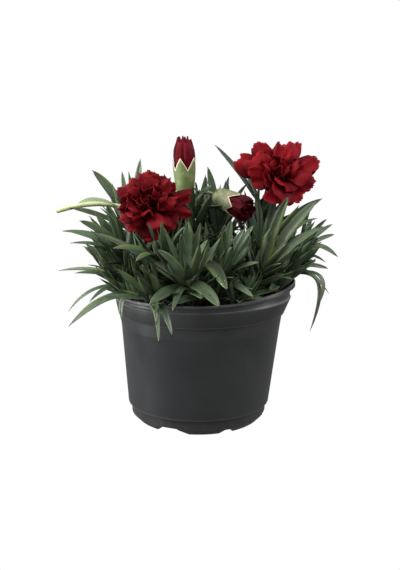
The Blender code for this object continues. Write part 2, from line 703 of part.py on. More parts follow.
def make_object(name, shape, material=None, collection=None):
    """Turns vertices in millimetres and faces into an object with its faces pointing out."""
    points, faces = shape
    mesh = bpy.data.meshes.new(name)
    mesh.from_pydata([Vector(point) * MM for point in points], [], faces)
    body = bmesh.new()
    body.from_mesh(mesh)
    bmesh.ops.recalc_face_normals(body, faces=body.faces)
    body.to_mesh(mesh)
    body.free()
    if material:
        mesh.materials.append(material)
    obj = bpy.data.objects.new(name, mesh)
    (collection or bpy.context.scene.collection).objects.link(obj)
    return obj


def apply_modifier(obj, modifier):
    with bpy.context.temp_override(object=obj, active_object=obj):
        bpy.ops.object.modifier_apply(modifier=modifier.name)


def cut(target, cutter_shapes):
    """Cuts shapes that lie apart out of an object with one Boolean and removes the cutter."""
    points, faces = [], []
    for shape_points, shape_faces in cutter_shapes:
        faces += [tuple(index + len(points) for index in face) for face in shape_faces]
        points += shape_points
    cutter = make_object("cutter", (points, faces))
    modifier = target.modifiers.new("Cut", "BOOLEAN")
    modifier.operation = "DIFFERENCE"
    modifier.object = cutter
    apply_modifier(target, modifier)
    bpy.data.objects.remove(cutter)


def keep_main_body(obj):
    """Splits the faces into triangles and keeps the outer skin of the largest body, so no sealed
    hollow or scrap is left, not even one that hangs on by a single edge."""
    mesh = bmesh.new()
    mesh.from_mesh(obj.data)
    bmesh.ops.triangulate(mesh, faces=mesh.faces)
    unseen = set(mesh.faces)
    islands = []
    for first in list(mesh.faces):
        if first not in unseen:
            continue
        unseen.remove(first)
        island = [first]
        for face in island:
            for edge in face.edges:
                if len(edge.link_faces) != 2:
                    continue
                for neighbour in edge.link_faces:
                    if neighbour in unseen:
                        unseen.remove(neighbour)
                        island.append(neighbour)
        islands.append(island)
    islands.sort(key=len)
    for island in islands[:-1]:
        bmesh.ops.delete(mesh, geom=island, context="FACES")
    mesh.to_mesh(obj.data)
    mesh.free()


def fuse(name, shapes, material):
    """Joins overlapping closed shapes into one body, fills what they seal and drops scraps."""
    repeats = bpy.data.collections.new(name + "_repeats")
    bpy.context.scene.collection.children.link(repeats)
    body = make_object(name, shapes[0], material)
    for i, shape in enumerate(shapes[1:]):
        make_object(f"{name}_{i}", shape, material, repeats)
    modifier = body.modifiers.new("Union", "BOOLEAN")
    modifier.operation = "UNION"
    modifier.operand_type = "COLLECTION"
    modifier.collection = repeats
    # EXACT gives the same bodies, but takes about 30 times as long
    modifier.solver = "MANIFOLD"
    apply_modifier(body, modifier)
    for repeat in list(repeats.objects):
        bpy.data.objects.remove(repeat)
    bpy.data.collections.remove(repeats)
    keep_main_body(body)


def notch_cutter(angle, width, height):
    """A tapered wedge through the foot, lower than the pot's floor where it reaches inside."""
    half = math.radians(width / 2)
    middle = math.radians(angle)
    side = [(half, -1.0), (half, 0.4), (half * NOTCH_TAPER, height)]
    section = side + [(-reach, level) for reach, level in reversed(side)]
    rings = []
    for radius, top in ((FOOT_INNER_RADIUS - 1.5, FLOOR_BOTTOM - 0.7), (HEEL_RADIUS + 3.0, height)):
        ring = []
        for reach, level in section:
            turn = middle + reach
            ring.append(Vector((radius * math.sin(turn), -radius * math.cos(turn), min(level, top))))
        rings.append(ring)
    return skin(rings)


def drain_cutter(index):
    angle = 2 * math.pi * (index + 0.5) / DRAIN_HOLES
    place = Vector((math.sin(angle), -math.cos(angle), 0)) * DRAIN_HOLE_CIRCLE
    through = [(DRAIN_HOLE_RADIUS, FLOOR_BOTTOM - 1), (DRAIN_HOLE_RADIUS, FLOOR_BOTTOM + WALL + 1.4)]
    return skin([[point + place for point in ring] for ring in turned(through, DRAIN_HOLE_SIDES)])


def make_pot(material):
    pot = make_object("pot", pot_shape(), material)
    cut(pot, [notch_cutter(*notch) for notch in NOTCHES])
    cut(pot, [drain_cutter(index) for index in range(DRAIN_HOLES)])
    keep_main_body(pot)


def stem_hole(stem):
    """Cutter for the hole in the soil that a stem stands in, with a gap all round."""
    bottom = [point - Vector((0, 0, SEAT_GAP)) for point in stem_ring(stem, 0, HOLE_ROOM)]
    return skin([bottom, stem_ring(stem, 1, HOLE_ROOM)])


def make_soil(material, stems):
    """Fills the pot from its floor to the dome. The rings have fewer corners than the pot,
    so the top ones keep a little further in."""
    side = WALL + SEAT_GAP
    low = FLOOR_BOTTOM + WALL + SEAT_GAP
    profile = [
        (HEEL_RADIUS - side, low), (HEEL_RADIUS - side, LOWER_STEP - 1.0),
        (BODY_BOTTOM_RADIUS - side, LOWER_STEP + 0.9)]
    rim = BODY_TOP_RADIUS - side - 0.6
    rings = turned(profile, SOIL_SIDES) + soil_rings([rim * share for share in (1.0, 0.72, 0.36)], SOIL_SIDES)
    soil = make_object("soil", skin(rings), material)
    cut(soil, [stem_hole(stem) for stem in stems])
    keep_main_body(soil)


for old in list(bpy.data.objects):
    bpy.data.objects.remove(old)

leaf_material = make_material("leaf", LEAF_GREEN, 0.6)
stem_material = make_material("flower_stem", STEM_GREEN, 0.6)
petal_material = make_material("petal", PETAL_RED, 0.7)
pot_material = make_material("pot_plastic", PLASTIC_BLACK, 0.4)
soil_material = make_material("soil", SOIL_BROWN, 0.95)

plant = grow_plant(Thicket())
make_pot(pot_material)
make_soil(soil_material, plant.stems.values())
for stem_name, stem in plant.stems.items():
    pieces = [stem_shape(stem)]
    if stem_name in plant.flowers:
        pieces.append(calyx_shape(plant.flowers[stem_name]))
    pieces += [leaf_shape(leaf) for leaf in plant.leaves[stem_name]]
    fuse(stem_name, pieces, leaf_material if stem_name.startswith("leafy") else stem_material)
for bloom_name, bloom in plant.petals.items():
    core = core_shape(plant.flowers[flower_stem_of(bloom_name)])
    fuse(bloom_name, [core] + [petal_shape(petal) for petal in bloom], petal_material)
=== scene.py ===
"""Looks of the potted dianthus: fine leaves, ruffled petals, ribbed calyxes, a moulded pot and peat.

The origin is on the floor at the pot's axis, +Z is up and the front of the plant is at -Y.
Lengths inside the functions are in millimetres, and MM turns them into metres.
The growth rule, from the gap between pieces to the name of a flower's stem, is the one that placed the
solids of model.glb, so that every fine leaf and petal lies where its solid does.
"""

import math
from collections import namedtuple

import bmesh
import bpy
import numpy as np
from mathutils import Matrix, Vector
from mathutils.bvhtree import BVHTree


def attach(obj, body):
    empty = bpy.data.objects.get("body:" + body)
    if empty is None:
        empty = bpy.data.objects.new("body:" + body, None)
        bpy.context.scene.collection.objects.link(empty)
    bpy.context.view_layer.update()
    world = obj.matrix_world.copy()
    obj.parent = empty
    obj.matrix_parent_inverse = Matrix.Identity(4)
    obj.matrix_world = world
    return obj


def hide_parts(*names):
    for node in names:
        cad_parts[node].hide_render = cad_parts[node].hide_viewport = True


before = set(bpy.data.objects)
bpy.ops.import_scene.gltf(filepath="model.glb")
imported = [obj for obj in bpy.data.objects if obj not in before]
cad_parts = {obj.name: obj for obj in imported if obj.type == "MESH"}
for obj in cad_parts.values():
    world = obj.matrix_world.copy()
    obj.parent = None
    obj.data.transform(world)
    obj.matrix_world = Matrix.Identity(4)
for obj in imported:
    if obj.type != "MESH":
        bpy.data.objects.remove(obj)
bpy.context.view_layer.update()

MM = 0.001
SEED = 7

# Gap between pieces that touch on the real plant
SEAT_GAP = 0.3
# Room that a leaf keeps to every piece of another stem
LEAF_ROOM = 0.3

# Pot, turned about the Z axis
POT_SIDES = 32
LIP_RADIUS = 74.5
LIP_TOP = 113.5
LIP_BOTTOM = 111.2
# The neck is the recess between the lip and the band
NECK_RADIUS = 71.0
BAND_TOP = 107.0
BAND_TOP_RADIUS = 72.2
BAND_BOTTOM_RADIUS = 69.6
BAND_BOTTOM = 94.0
BODY_TOP_RADIUS = 67.7
BODY_BOTTOM_RADIUS = 62.2
LOWER_STEP = 14.4
HEEL_RADIUS = 59.2
CHAMFER_TOP = 4.8
FOOT_RADIUS = 54.6
FOOT_INNER_RADIUS = 50.0
WALL = 1.6
FLOOR_BOTTOM = 5.0
# The thin wall is pulled out towards +X from some height up, and its lip is pulled up there
LIP_LIFT = 8.0
LIP_FLARE = 10.0
FLARE_START = 30.0
# Drainage notches between the feet: angle from the front towards +X and width, both in degrees,
# and height
NOTCHES = [
    (-24, 30, 6.2), (25, 12, 3.8), (-77, 12, 3.8), (76, 26, 6.2), (-129, 28, 6.2), (129, 12, 3.8),
    (178, 20, 6.2)]
# A notch is this share of its width at its top
NOTCH_TAPER = 0.42
DRAIN_HOLES = 6
DRAIN_HOLE_RADIUS = 5.0
DRAIN_HOLE_CIRCLE = 36.0

# Soil
SOIL_TOP = 90.0
SOIL_DOME = 3.0
ROOT_DEPTH = 10.0
# Leaves start and stems bend only above this height
CLEAR_OF_SOIL = SOIL_TOP + SOIL_DOME + 3.0

# Leaves and stems
STEM_RADIUS = 2.0
STEM_TAPER = 0.12
STEM_SIDES = 4
LEAFY_STEM_BENDS = 2
FLOWER_STEM_BENDS = 3
LEAF_LENGTH = 50.0
LEAF_WIDTH = 8.0
LEAF_ROOT_HALF_WIDTH = 0.5
ROOT_OFFSET = 0.8
# Least angle at which a leaf leaves its stem
LEAVING_ANGLE = math.radians(50)
KEEL_DEPTH = 1.2
ROOT_KEEL_DEPTH = 0.8
# An outline leaf is tried with these lengths, shifts in depth and bows, in turn
OUTLINE_SHARES = (1.0, 0.93, 0.86, 0.78)
OUTLINE_SHIFTS = (0, 4, -4, 8, -8, 12, -12, 17, -17)
OUTLINE_BOWS = (0.14, 0.22, 0.07, 0.30)
# A leaf of a pair is tried this often, each time turned further
PAIR_TRIES = 28
PAIR_TURN = math.radians(7)
# Shares of a leaf's length where its section is drawn: an outline leaf and a plainer filling leaf
OUTLINE_STATIONS = (0.0, 0.3, 0.62, 0.86)
FILL_STATIONS = (0.0, 0.36, 0.8)
# Distances of the leaf pairs down from the crown, and of the outline leaves
PAIR_GAPS = (3.0, 10.0, 18.0, 27.0, 37.0, 48.0)
FIRST_OUTLINE_GAP = 3.0
OUTLINE_GAP_STEP = 2.5
FLOWER_PAIR_GAPS = (22.0, 42.0, 60.0, 76.0)
FLOWER_OUTLINE_GAP = 20.0
CUT_STEM_LEAF_GAP = 52.0
# Half sizes of the box that the whole plant keeps to, and its top
BOX_X, BOX_Y, BOX_TOP = 118.0, 105.0, 243.0
# Outline of the leafy mass as (x, z) on the plane through the pot's axis, as an eye in front sees it.
# Leaves that fill the stems end inside it.
EYE_DISTANCE = 650.0
EYE_HEIGHT = 245.0
MASS_OUTLINE = [
    (-71, 103), (-90, 106), (-82, 117), (-96, 127), (-87, 136), (-99, 150), (-92, 159), (-93, 178),
    (-82, 186), (-74, 188), (-77, 202), (-63, 213), (-33, 218), (-2, 200), (4, 198), (6, 214),
    (11, 214), (13, 198), (23, 206), (35, 198), (32, 213), (53, 223), (86, 213), (104, 188),
    (94, 178), (104, 168), (101, 159), (108, 152), (100, 145), (103, 136), (100, 120), (91, 131),
    (80, 117), (75, 110), (41, 103), (-8, 101), (-18, 72), (-38, 68), (-48, 97)]

# Leafy stems: root on the soil (x, y), crown (x, y, z), number of leaf pairs down from the crown,
# and the leaves that show: tip (x, y, z) and width. A leaf that hangs over has the point (x, y, z)
# that it bends towards after these.
LEAFY_STEMS = [
    ((-8, -40), (-8, -64, 138), 4, [
        (-8, -62, 178, 8), (7, -78, 166, 6.5), (-31, -76, 158, 7), (16, -95, 118, 10), (-19, -99, 116, 5),
        (-36, -93, 120, 9), (-84, -44, 168, 7)]),
    ((12, -34), (19, -56, 140), 4, [
        (36, -58, 172, 6), (44, -50, 174, 6), (26, -52, 178, 7), (46, -84, 150, 4.5),
        (42, -88, 124, 5), (21, -48, 174, 7)]),
    ((34, -30), (54, -48, 141), 4, [
        (94, -45, 193, 9), (71, -46, 196, 7.5), (98, -52, 173, 7), (72, -80, 136, 5), (62, -90, 150, 5)]),
    ((-24, -38), (-36, -66, 124), 3, [
        (-31, -98, 107, 5.5), (-29, -105, 94, 4), (-19, -105, 99, 5), (-32, -97, 114, 8),
        (-44, -88, 148, 6)]),
    ((-18, -24), (-32, -44, 150), 5, [
        (-64, -80, 160, 7), (-46, -90, 152, 7), (-10, -74, 176, 6)]),
    ((-36, -14), (-64, -30, 156), 5, [
        (-94, -46, 177, 6.5), (-112, -20, 166, 8), (-74, -34, 189, 7), (-101, -50, 160, 4.5)]),
    ((-40, -28), (-64, -42, 134), 4, [
        (-116, -24, 133, 4), (-98, -52, 136, 4), (-86, -60, 144, 3.5), (-85, -66, 116, 5),
        (-106, -42, 103, 3.5, -86, -45, 130)]),
    ((-34, -44), (-51, -50, 120), 3, [
        (-102, -62, 96, 7), (-76, -52, 132, 4), (-60, -68, 100, 5, -64, -64, 124)]),
    ((-38, 4), (-60, 12, 172), 5, [
        (-90, 6, 214, 8.5), (-67, 24, 212, 4.5), (-50, 12, 223, 7), (-104, -22, 186, 8)]),
    ((42, -18), (82, -32, 140), 4, [
        (106, -36, 137, 4), (106, -42, 118, 3.5), (96, -56, 111, 3.5, 110, -50, 142),
        (92, -46, 88, 4, 112, -38, 142)]),
    ((44, -2), (94, -8, 154), 5, [
        (118, -12, 143, 5.5), (117, 2, 160, 4), (107, -16, 175, 4.5), (116, 8, 168, 4.5),
        (105, -28, 141, 3.5)]),
    ((14, 2), (18, 6, 172), 5, [
        (8, 0, 217, 7), (26, 4, 209, 4), (-4, 8, 200, 4.5), (42, 10, 203, 4), (30, -8, 197, 4.5)]),
    ((28, -12), (60, -16, 158), 5, [
        (104, -4, 191, 8), (97, -26, 177, 5), (66, 4, 200, 6), (49, 4, 197, 6), (40, -20, 186, 6)]),
    ((-12, 18), (-20, 26, 166), 5, [(-30, 24, 210, 6)]),
    ((-30, 24), (-52, 46, 148), 5, []),
    ((-46, 14), (-80, 26, 134), 5, [(-101, 40, 144, 6)]),
    ((-18, 40), (-28, 66, 136), 5, [(-34, 105, 130, 7)]),
    ((8, 42), (12, 68, 142), 5, [(10, 104, 136, 7)]),
    ((30, 32), (50, 54, 144), 5, [(76, 90, 150, 7)]),
    ((46, 14), (78, 28, 140), 5, [(110, 42, 150, 6)]),
    ((8, 24), (10, 38, 168), 3, [(44, 36, 182, 7), (34, 40, 193, 7), (22, 44, 195, 7)]),
    ((26, -44), (33, -57, 118), 4, [(50, -68, 119, 5), (64, -50, 122, 5), (32, -80, 118, 6)]),
    ((0, -20), (2, -34, 142), 4, [(22, -84, 129, 10, 10, -60, 152), (-14, -62, 172, 6)]),
]

# Flower stems: root on the soil, base of the calyx, direction that the flower faces,
# calyx length, radius at its mouth, number of leaf pairs on the stem and outline leaf tips
FLOWER_STEMS = {
    "flower_stem_left": ((-22, -10), (-38, -10, 178), (-0.05, -0.88, 0.34), 22.0, 7.0, 2, []),
    "flower_stem_right": ((24, 14), (64, 16, 192), (0.08, -0.80, 0.58), 22.0, 7.0, 3, [
        (15, 24, 235, 5), (38, 22, 219, 4)]),
    "flower_stem_upright": ((-6, 4), (-11, 2, 191), (-0.03, -0.04, 1.0), 31.0, 9.5, 4, []),
    "flower_stem_side": ((2, -8), (14, -8, 195), (0.74, -0.60, -0.30), 24.0, 9.4, 3, [
        (-2, -20, 206, 5)]),
}
# Height of the calyx teeth as a share of its length, on an open flower and on a bud
OPEN_TEETH = 0.96
BUD_TEETH = 1.12
# A pruned stem that arches out to the left, with one leaf left on it
CUT_STEM_ROOT = (-26, 12)
CUT_STEM_END = (-118, -18, 182)
CUT_STEM_FACING = (-0.95, -0.25, -0.28)
CUT_STEM_RADIUS = 2.8
CUT_STEM_LEAF_TIP = (-97, -30, 190, 5, -83, -27, 196)
# How far each end of a stem keeps its direction, as a share of the stem's length
STEM_ARCH = 0.4
CUT_STEM_ARCH = 0.55

# Petals of the two open flowers: angle seen from the front (0 is to the right, 90 up),
# opening angle from the flower's axis, length and width
LEFT_OUTER = [
    (12, 84, 36, 13), (-14, 84, 35, 12), (46, 82, 27, 20), (86, 82, 27, 22), (126, 82, 24, 22),
    (166, 84, 22, 22), (206, 84, 23, 22), (246, 82, 27, 22), (282, 84, 31, 22), (320, 82, 29, 20)]
LEFT_INNER_COUNT = 8
RIGHT_OUTER = [
    (156, 82, 38, 24), (120, 76, 34, 20), (64, 84, 39, 15), (22, 84, 38, 20),
    (-12, 82, 31, 18), (-42, 80, 30, 20), (-95, 84, 28, 26), (-150, 72, 21, 18)]
RIGHT_INNER_COUNT = 6
# How far the furled petals stand out of each bud
UPRIGHT_REACH = 21.0
SIDE_REACH = 14.0
FURLED_COUNT = 6
PETAL_THICK = 0.8
# Rows of a petal from its claw to its edge: share of its length and number of points
OPEN_ROWS = ((0.0, 2), (0.55, 3), (1.0, 6))
FURLED_ROWS = ((0.0, 2), (0.55, 3), (1.0, 4))

Leaf = namedtuple("Leaf", "root bend tip face width stations")
Stem = namedtuple("Stem", "curve stations points directions radius turn")
Flower = namedtuple("Flower", "base facing length mouth teeth")
Petal = namedtuple("Petal", "throat bend tip face width ruffle phase rows")
Plant = namedtuple("Plant", "stems leaves flowers petals")


def cubic(points, t):
    """Point on a cubic curve with four control points."""
    a, b, c, d = points
    return a * (1 - t) ** 3 + b * 3 * t * (1 - t) ** 2 + c * 3 * t * t * (1 - t) + d * t ** 3


def cubic_slope(points, t):
    a, b, c, d = points
    return (b - a) * (1 - t) ** 2 + (c - b) * 2 * t * (1 - t) + (d - c) * t * t


def quadratic(a, b, c, s):
    """Point on a quadratic curve with three control points."""
    return a * (1 - s) ** 2 + b * 2 * s * (1 - s) + c * s * s


def quadratic_slope(a, b, c, s):
    return (b - a) * (1 - s) + (c - b) * s


def quadratic_direction(a, b, c, s):
    return quadratic_slope(a, b, c, s).normalized()


def across(direction, towards):
    """Unit vector square to a direction, and the part of another vector that is square to both."""
    side = direction.cross(towards)
    if side.length < 1e-4:
        side = direction.cross(Vector((0.3, 0.1, 1.0)))
    side.normalize()
    return side, side.cross(direction)


def around(direction):
    """Two unit vectors square to a flower's axis."""
    return across(direction, Vector((0, 0, 1)) if abs(direction.z) < 0.9 else Vector((0, 1, 0)))


def flower_axes(direction):
    """Unit vectors to the right of an open flower and up it, as seen from in front."""
    side = (Vector((1, 0, 0)) - direction * direction.x).normalized()
    return side, direction.cross(side)


def ring_round(centre, frame_vectors, radius, count, start=0.0):
    """Points on a circle."""
    side, up = frame_vectors
    angles = [2 * math.pi * (k + start) / count for k in range(count)]
    return [centre + (side * math.cos(a) + up * math.sin(a)) * radius for a in angles]


def skin(rings):
    """Joins rings of equal count into a closed surface, with a cap or a point at each end."""
    points = [point for ring in rings for point in ring]
    faces = []
    start = 0
    for lower, upper in zip(rings, rings[1:]):
        count = len(lower)
        following = start + count
        for i in range(count):
            j = (i + 1) % count
            if len(upper) == 1:
                faces.append((start + i, start + j, following))
            else:
                faces.append((start + i, start + j, following + j, following + i))
        start = following
    faces.append(tuple(reversed(range(len(rings[0])))))
    if len(rings[-1]) > 1:
        faces.append(tuple(range(start, start + len(rings[-1]))))
    return points, faces


def tip_taper(s):
    """Share of the full width along a leaf that keeps its width and ends in a short blunt point."""
    return max(0.0, 1.0 - max(0.0, (s - 0.58) / 0.42) ** 2.1) ** 0.75


def leaf_half_width(s, width):
    """A strap-like leaf with a narrow root."""
    if s < 0.3:
        return LEAF_ROOT_HALF_WIDTH + (0.5 * width - LEAF_ROOT_HALF_WIDTH) * s / 0.3
    return 0.5 * width * tip_taper(s)


def leaf_shape(leaf, grow=0.0):
    """The blade as a closed solid, keeled below. A test blade grows by the room it must keep."""
    rings = []
    for s in leaf.stations:
        centre = quadratic(leaf.root, leaf.bend, leaf.tip, s)
        side, up = across(quadratic_direction(leaf.root, leaf.bend, leaf.tip, s), leaf.face)
        half = leaf_half_width(s, leaf.width)
        keel = (KEEL_DEPTH if s else ROOT_KEEL_DEPTH) + grow
        edge = up * (0.2 * half)
        reach = side * (half + grow)
        ring = [centre - reach + edge, centre - up * keel, centre + reach + edge]
        if grow:
            ring.append(centre + edge + up * grow)
        rings.append(ring)
    rings.append([leaf.tip + quadratic_direction(leaf.root, leaf.bend, leaf.tip, 1.0) * grow])
    return skin(rings)


def stem_frame(direction, turn):
    """Unit vectors across a stem, turned about it so that its flat sides face the leaf pairs."""
    return across(direction, Vector((math.sin(turn), math.cos(turn), 0.0)))


def make_stem(root, end, direction, radius, turn, bends, arch):
    """A stem that leaves the soil upright, stays straight in it and ends in a given direction."""
    stiffness = arch * (end - root).length
    curve = [root, root + Vector((0, 0, stiffness)), end - direction * stiffness, end]
    above = 0.0
    while cubic(curve, above).z < CLEAR_OF_SOIL:
        above += 0.01
    stations = [0.0] + [above + (1 - above) * k / bends for k in range(bends + 1)]
    points = [cubic(curve, t) for t in stations]
    directions = [cubic_slope(curve, t).normalized() for t in stations]
    return Stem(curve, stations, points, directions, radius, turn)


def stem_at(stem, distance):
    """Point and direction on a stem at a distance back from its end."""
    for above, below in zip(reversed(stem.points), reversed(stem.points[:-1])):
        span = below - above
        if distance <= span.length:
            return above + span.normalized() * distance, -span.normalized()
        distance -= span.length
    return stem.points[0], stem.directions[0]


def stem_ring(stem, index, grow=0.0):
    taper = 1 - STEM_TAPER * index / (len(stem.points) - 1)
    frame_vectors = stem_frame(stem.directions[index], stem.turn)
    return ring_round(stem.points[index], frame_vectors, stem.radius * taper + grow, STEM_SIDES, 0.5)


def stem_shape(stem, grow=0.0):
    return skin([stem_ring(stem, index, grow) for index in range(len(stem.points))])


def test_tree(shape):
    points, faces = shape
    return BVHTree.FromPolygons([Vector(point) for point in points], faces)


class Thicket:
    """Remembers every placed piece, so that a new leaf can be tested against the others."""

    def __init__(self):
        self.trees = {}

    def add(self, node, shape):
        self.trees.setdefault(node, []).append(test_tree(shape))

    def is_clear(self, node, shape):
        probe = test_tree(shape)
        for other, trees in self.trees.items():
            if other == node:
                continue
            if any(tree.overlap(probe) for tree in trees):
                return False
        return True

    def place(self, node, tries):
        """Takes the first of the tried leaves that stays clear of every other node."""
        for leaf in tries:
            shape = leaf_shape(leaf, LEAF_ROOM)
            if inside_limits(leaf) and self.is_clear(node, shape):
                self.add(node, shape)
                return [leaf]
        return []


def inside_outline(point):
    """Whether a point lies inside the outline of the leafy mass, by the crossings to its right."""
    nearness = EYE_DISTANCE / (EYE_DISTANCE + point.y)
    x, z = point.x * nearness, EYE_HEIGHT + (point.z - EYE_HEIGHT) * nearness
    inside = False
    for (x0, z0), (x1, z1) in zip(MASS_OUTLINE, MASS_OUTLINE[1:] + MASS_OUTLINE[:1]):
        if (z0 > z) != (z1 > z) and x < x0 + (x1 - x0) * (z - z0) / (z1 - z0):
            inside = not inside
    return inside


def inside_limits(leaf):
    for s in (0.5, 0.8, 1.0):
        point = quadratic(leaf.root, leaf.bend, leaf.tip, s)
        if abs(point.x) > BOX_X or abs(point.y) > BOX_Y or point.z > BOX_TOP:
            return False
        if leaf.stations == FILL_STATIONS and not inside_outline(point):
            return False
    return True


def outline_leaf_tries(root, drawn, stem_direction):
    """A leaf to a given tip, then the same leaf at other depths, bows and lengths."""
    tip, width = Vector(drawn[:3]), drawn[3]
    drawn_bend = Vector(drawn[4:]) if len(drawn) > 4 else None
    for shorten in OUTLINE_SHARES:
        for shift in OUTLINE_SHIFTS:
            for bow in OUTLINE_BOWS:
                end = root + (tip + Vector((0, shift, 0)) - root) * shorten
                span = end - root
                start = root + span.normalized() * ROOT_OFFSET
                drop = max(0.0, root.z - end.z)
                rise = Vector((0, 0, 1)) * (bow * span.length + 0.45 * drop)
                bend = root + span * 0.45 + rise
                if drawn_bend:
                    bend = drawn_bend + Vector((0, 0.7 * shift, 60 * (bow - OUTLINE_BOWS[0])))
                face = stem_direction * 0.4 + Vector((0, -0.8, 0.7))
                yield Leaf(start, bend, end, face, width, OUTLINE_STATIONS)


def pair_leaf_tries(root, stem_direction, frame_vectors, azimuth, spread, length, droop, width):
    """A leaf of an opposite pair, then the same leaf turned, raised and shortened."""
    side, up = frame_vectors
    for step in range(PAIR_TRIES):
        turn = azimuth + PAIR_TURN * ((step + 1) // 2) * (1 if step % 2 else -1)
        tilt = spread * (1.0 - 0.12 * (step % 4))
        reach = length * (1.0 - 0.015 * step)
        outward = side * math.cos(turn) + up * math.sin(turn)
        leaving = max(LEAVING_ANGLE, 0.6 * tilt)
        start = stem_direction * math.cos(leaving) + outward * math.sin(leaving)
        finish = stem_direction * math.cos(tilt) + outward * math.sin(tilt)
        tip = root + finish * reach - Vector((0, 0, droop * reach))
        bend = root + start * (0.33 * reach)
        yield Leaf(root + outward * ROOT_OFFSET, bend, tip, stem_direction, width, FILL_STATIONS)


def turned(profile, sides):
    """Rings of points round the Z axis for a list of (radius, height)."""
    rings = []
    for radius, height in profile:
        angles = [2 * math.pi * k / sides for k in range(sides)]
        rings.append([Vector((radius * math.sin(a), -radius * math.cos(a), height)) for a in angles])
    return rings


def pot_profile():
    """Section of the pot wall, from its underside out, up and back down inside, in two halves."""
    outside = [
        (FOOT_INNER_RADIUS, FLOOR_BOTTOM), (FOOT_INNER_RADIUS, 0.0), (FOOT_RADIUS, 0.0),
        (HEEL_RADIUS, CHAMFER_TOP), (HEEL_RADIUS + 0.4, LOWER_STEP - 1.4),
        (BODY_BOTTOM_RADIUS, LOWER_STEP), (BODY_TOP_RADIUS, BAND_BOTTOM - 0.8),
        (BAND_BOTTOM_RADIUS, BAND_BOTTOM), (BAND_TOP_RADIUS, BAND_TOP), (NECK_RADIUS, BAND_TOP + 0.9),
        (NECK_RADIUS, LIP_BOTTOM), (LIP_RADIUS, LIP_BOTTOM + 0.3), (LIP_RADIUS - 0.4, LIP_TOP - 0.3)]
    inside = [
        (LIP_RADIUS - 1.6, LIP_TOP), (NECK_RADIUS - WALL, LIP_BOTTOM - 0.5),
        (NECK_RADIUS - WALL, BAND_TOP),
        (BAND_BOTTOM_RADIUS - WALL, BAND_BOTTOM), (BODY_BOTTOM_RADIUS - WALL, LOWER_STEP + 0.6),
        (HEEL_RADIUS - WALL, LOWER_STEP - 1.0), (HEEL_RADIUS - WALL, FLOOR_BOTTOM + WALL)]
    return outside, inside


def lift_lip(point):
    """Flares the wall and raises the lip on the +X side, where the thin plastic is pulled out."""
    radius = math.hypot(point.x, point.y)
    if point.z <= FLARE_START or radius < 1.0:
        return point
    facing = max(0.0, point.x / radius)
    flared = LIP_FLARE * facing ** 4 * ((point.z - FLARE_START) / (LIP_TOP - FLARE_START)) ** 2.5
    lifted = LIP_LIFT * facing ** 2 * max(0.0, (point.z - BAND_TOP) / (LIP_TOP - BAND_TOP))
    spread = 1.0 + flared / radius
    return Vector((point.x * spread, point.y * spread, point.z + lifted))


def pot_shape():
    outside, inside = pot_profile()
    return skin([[lift_lip(point) for point in ring] for ring in turned(outside + inside, POT_SIDES)])


def soil_height(x, y):
    """A low dome with soft lumps."""
    radius = math.hypot(x, y)
    lumps = 0.8 * math.sin(x / 6.1 + 0.7) * math.cos(y / 7.3) + 0.5 * math.sin((x - y) / 4.3)
    return SOIL_TOP + SOIL_DOME * (1 - (radius / BODY_TOP_RADIUS) ** 2) + lumps


def soil_rings(radii, sides):
    """Rings of points on the soil's surface, from the rim to the middle."""
    rings = []
    for radius in radii:
        flat = turned([(radius, 0.0)], sides)[0]
        rings.append([Vector((p.x, p.y, soil_height(p.x, p.y))) for p in flat])
    rings.append([Vector((0, 0, soil_height(0, 0)))])
    return rings


def calyx_shape(flower):
    """A ribbed cup that ends in five pointed teeth and holds the petals."""
    base, direction, length, mouth, teeth = flower
    frame_vectors = around(direction)

    def ring(along, radius, tooth_along=None, tooth_radius=None):
        points = ring_round(base + direction * along, frame_vectors, radius, 10)
        if tooth_along is not None:
            tips = ring_round(base + direction * tooth_along, frame_vectors, tooth_radius, 10)
            points[::2] = tips[::2]
        return points

    return skin([
        ring(-1.0, 1.2), ring(1.5, 0.62 * mouth), ring(0.35 * length, 0.84 * mouth),
        ring(0.72 * length, 0.97 * mouth),
        ring(0.86 * length, mouth, teeth * length, mouth + 0.9),
        ring(0.86 * length, mouth - 0.9, teeth * length, mouth - 0.1),
        ring(0.6 * length, 0.97 * mouth - 0.9), ring(0.5 * length, 0.9 * mouth - 0.9)])


def core_shape(flower):
    """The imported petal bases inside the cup."""
    base, direction, length, mouth, _ = flower
    frame_vectors = around(direction)
    rings = []
    for along, radius in ((0.5 * length + SEAT_GAP, 0.9 * mouth - 1.4),
                          (0.6 * length, 0.97 * mouth - 1.5), (1.06 * length, mouth - 1.7)):
        rings.append(ring_round(base + direction * along, frame_vectors, radius, 10))
    rings.append([base + direction * (1.25 * length)])
    return skin(rings)


def petal_point(petal, s, t):
    """Middle surface of a petal: s runs from the claw to the edge, t from side to side."""
    centre = quadratic(petal.throat, petal.bend, petal.tip, s)
    direction = quadratic_direction(petal.throat, petal.bend, petal.tip, s)
    side, up = across(direction, petal.face)
    half = petal.width * (0.10 + 0.40 * min(1.0, s / 0.8) ** 1.4)
    wave = petal.ruffle * s * s * math.sin(5.2 * t + petal.phase)
    curl = -0.10 * petal.width * t * t * s
    return centre + side * (half * t) + up * (wave + curl), up


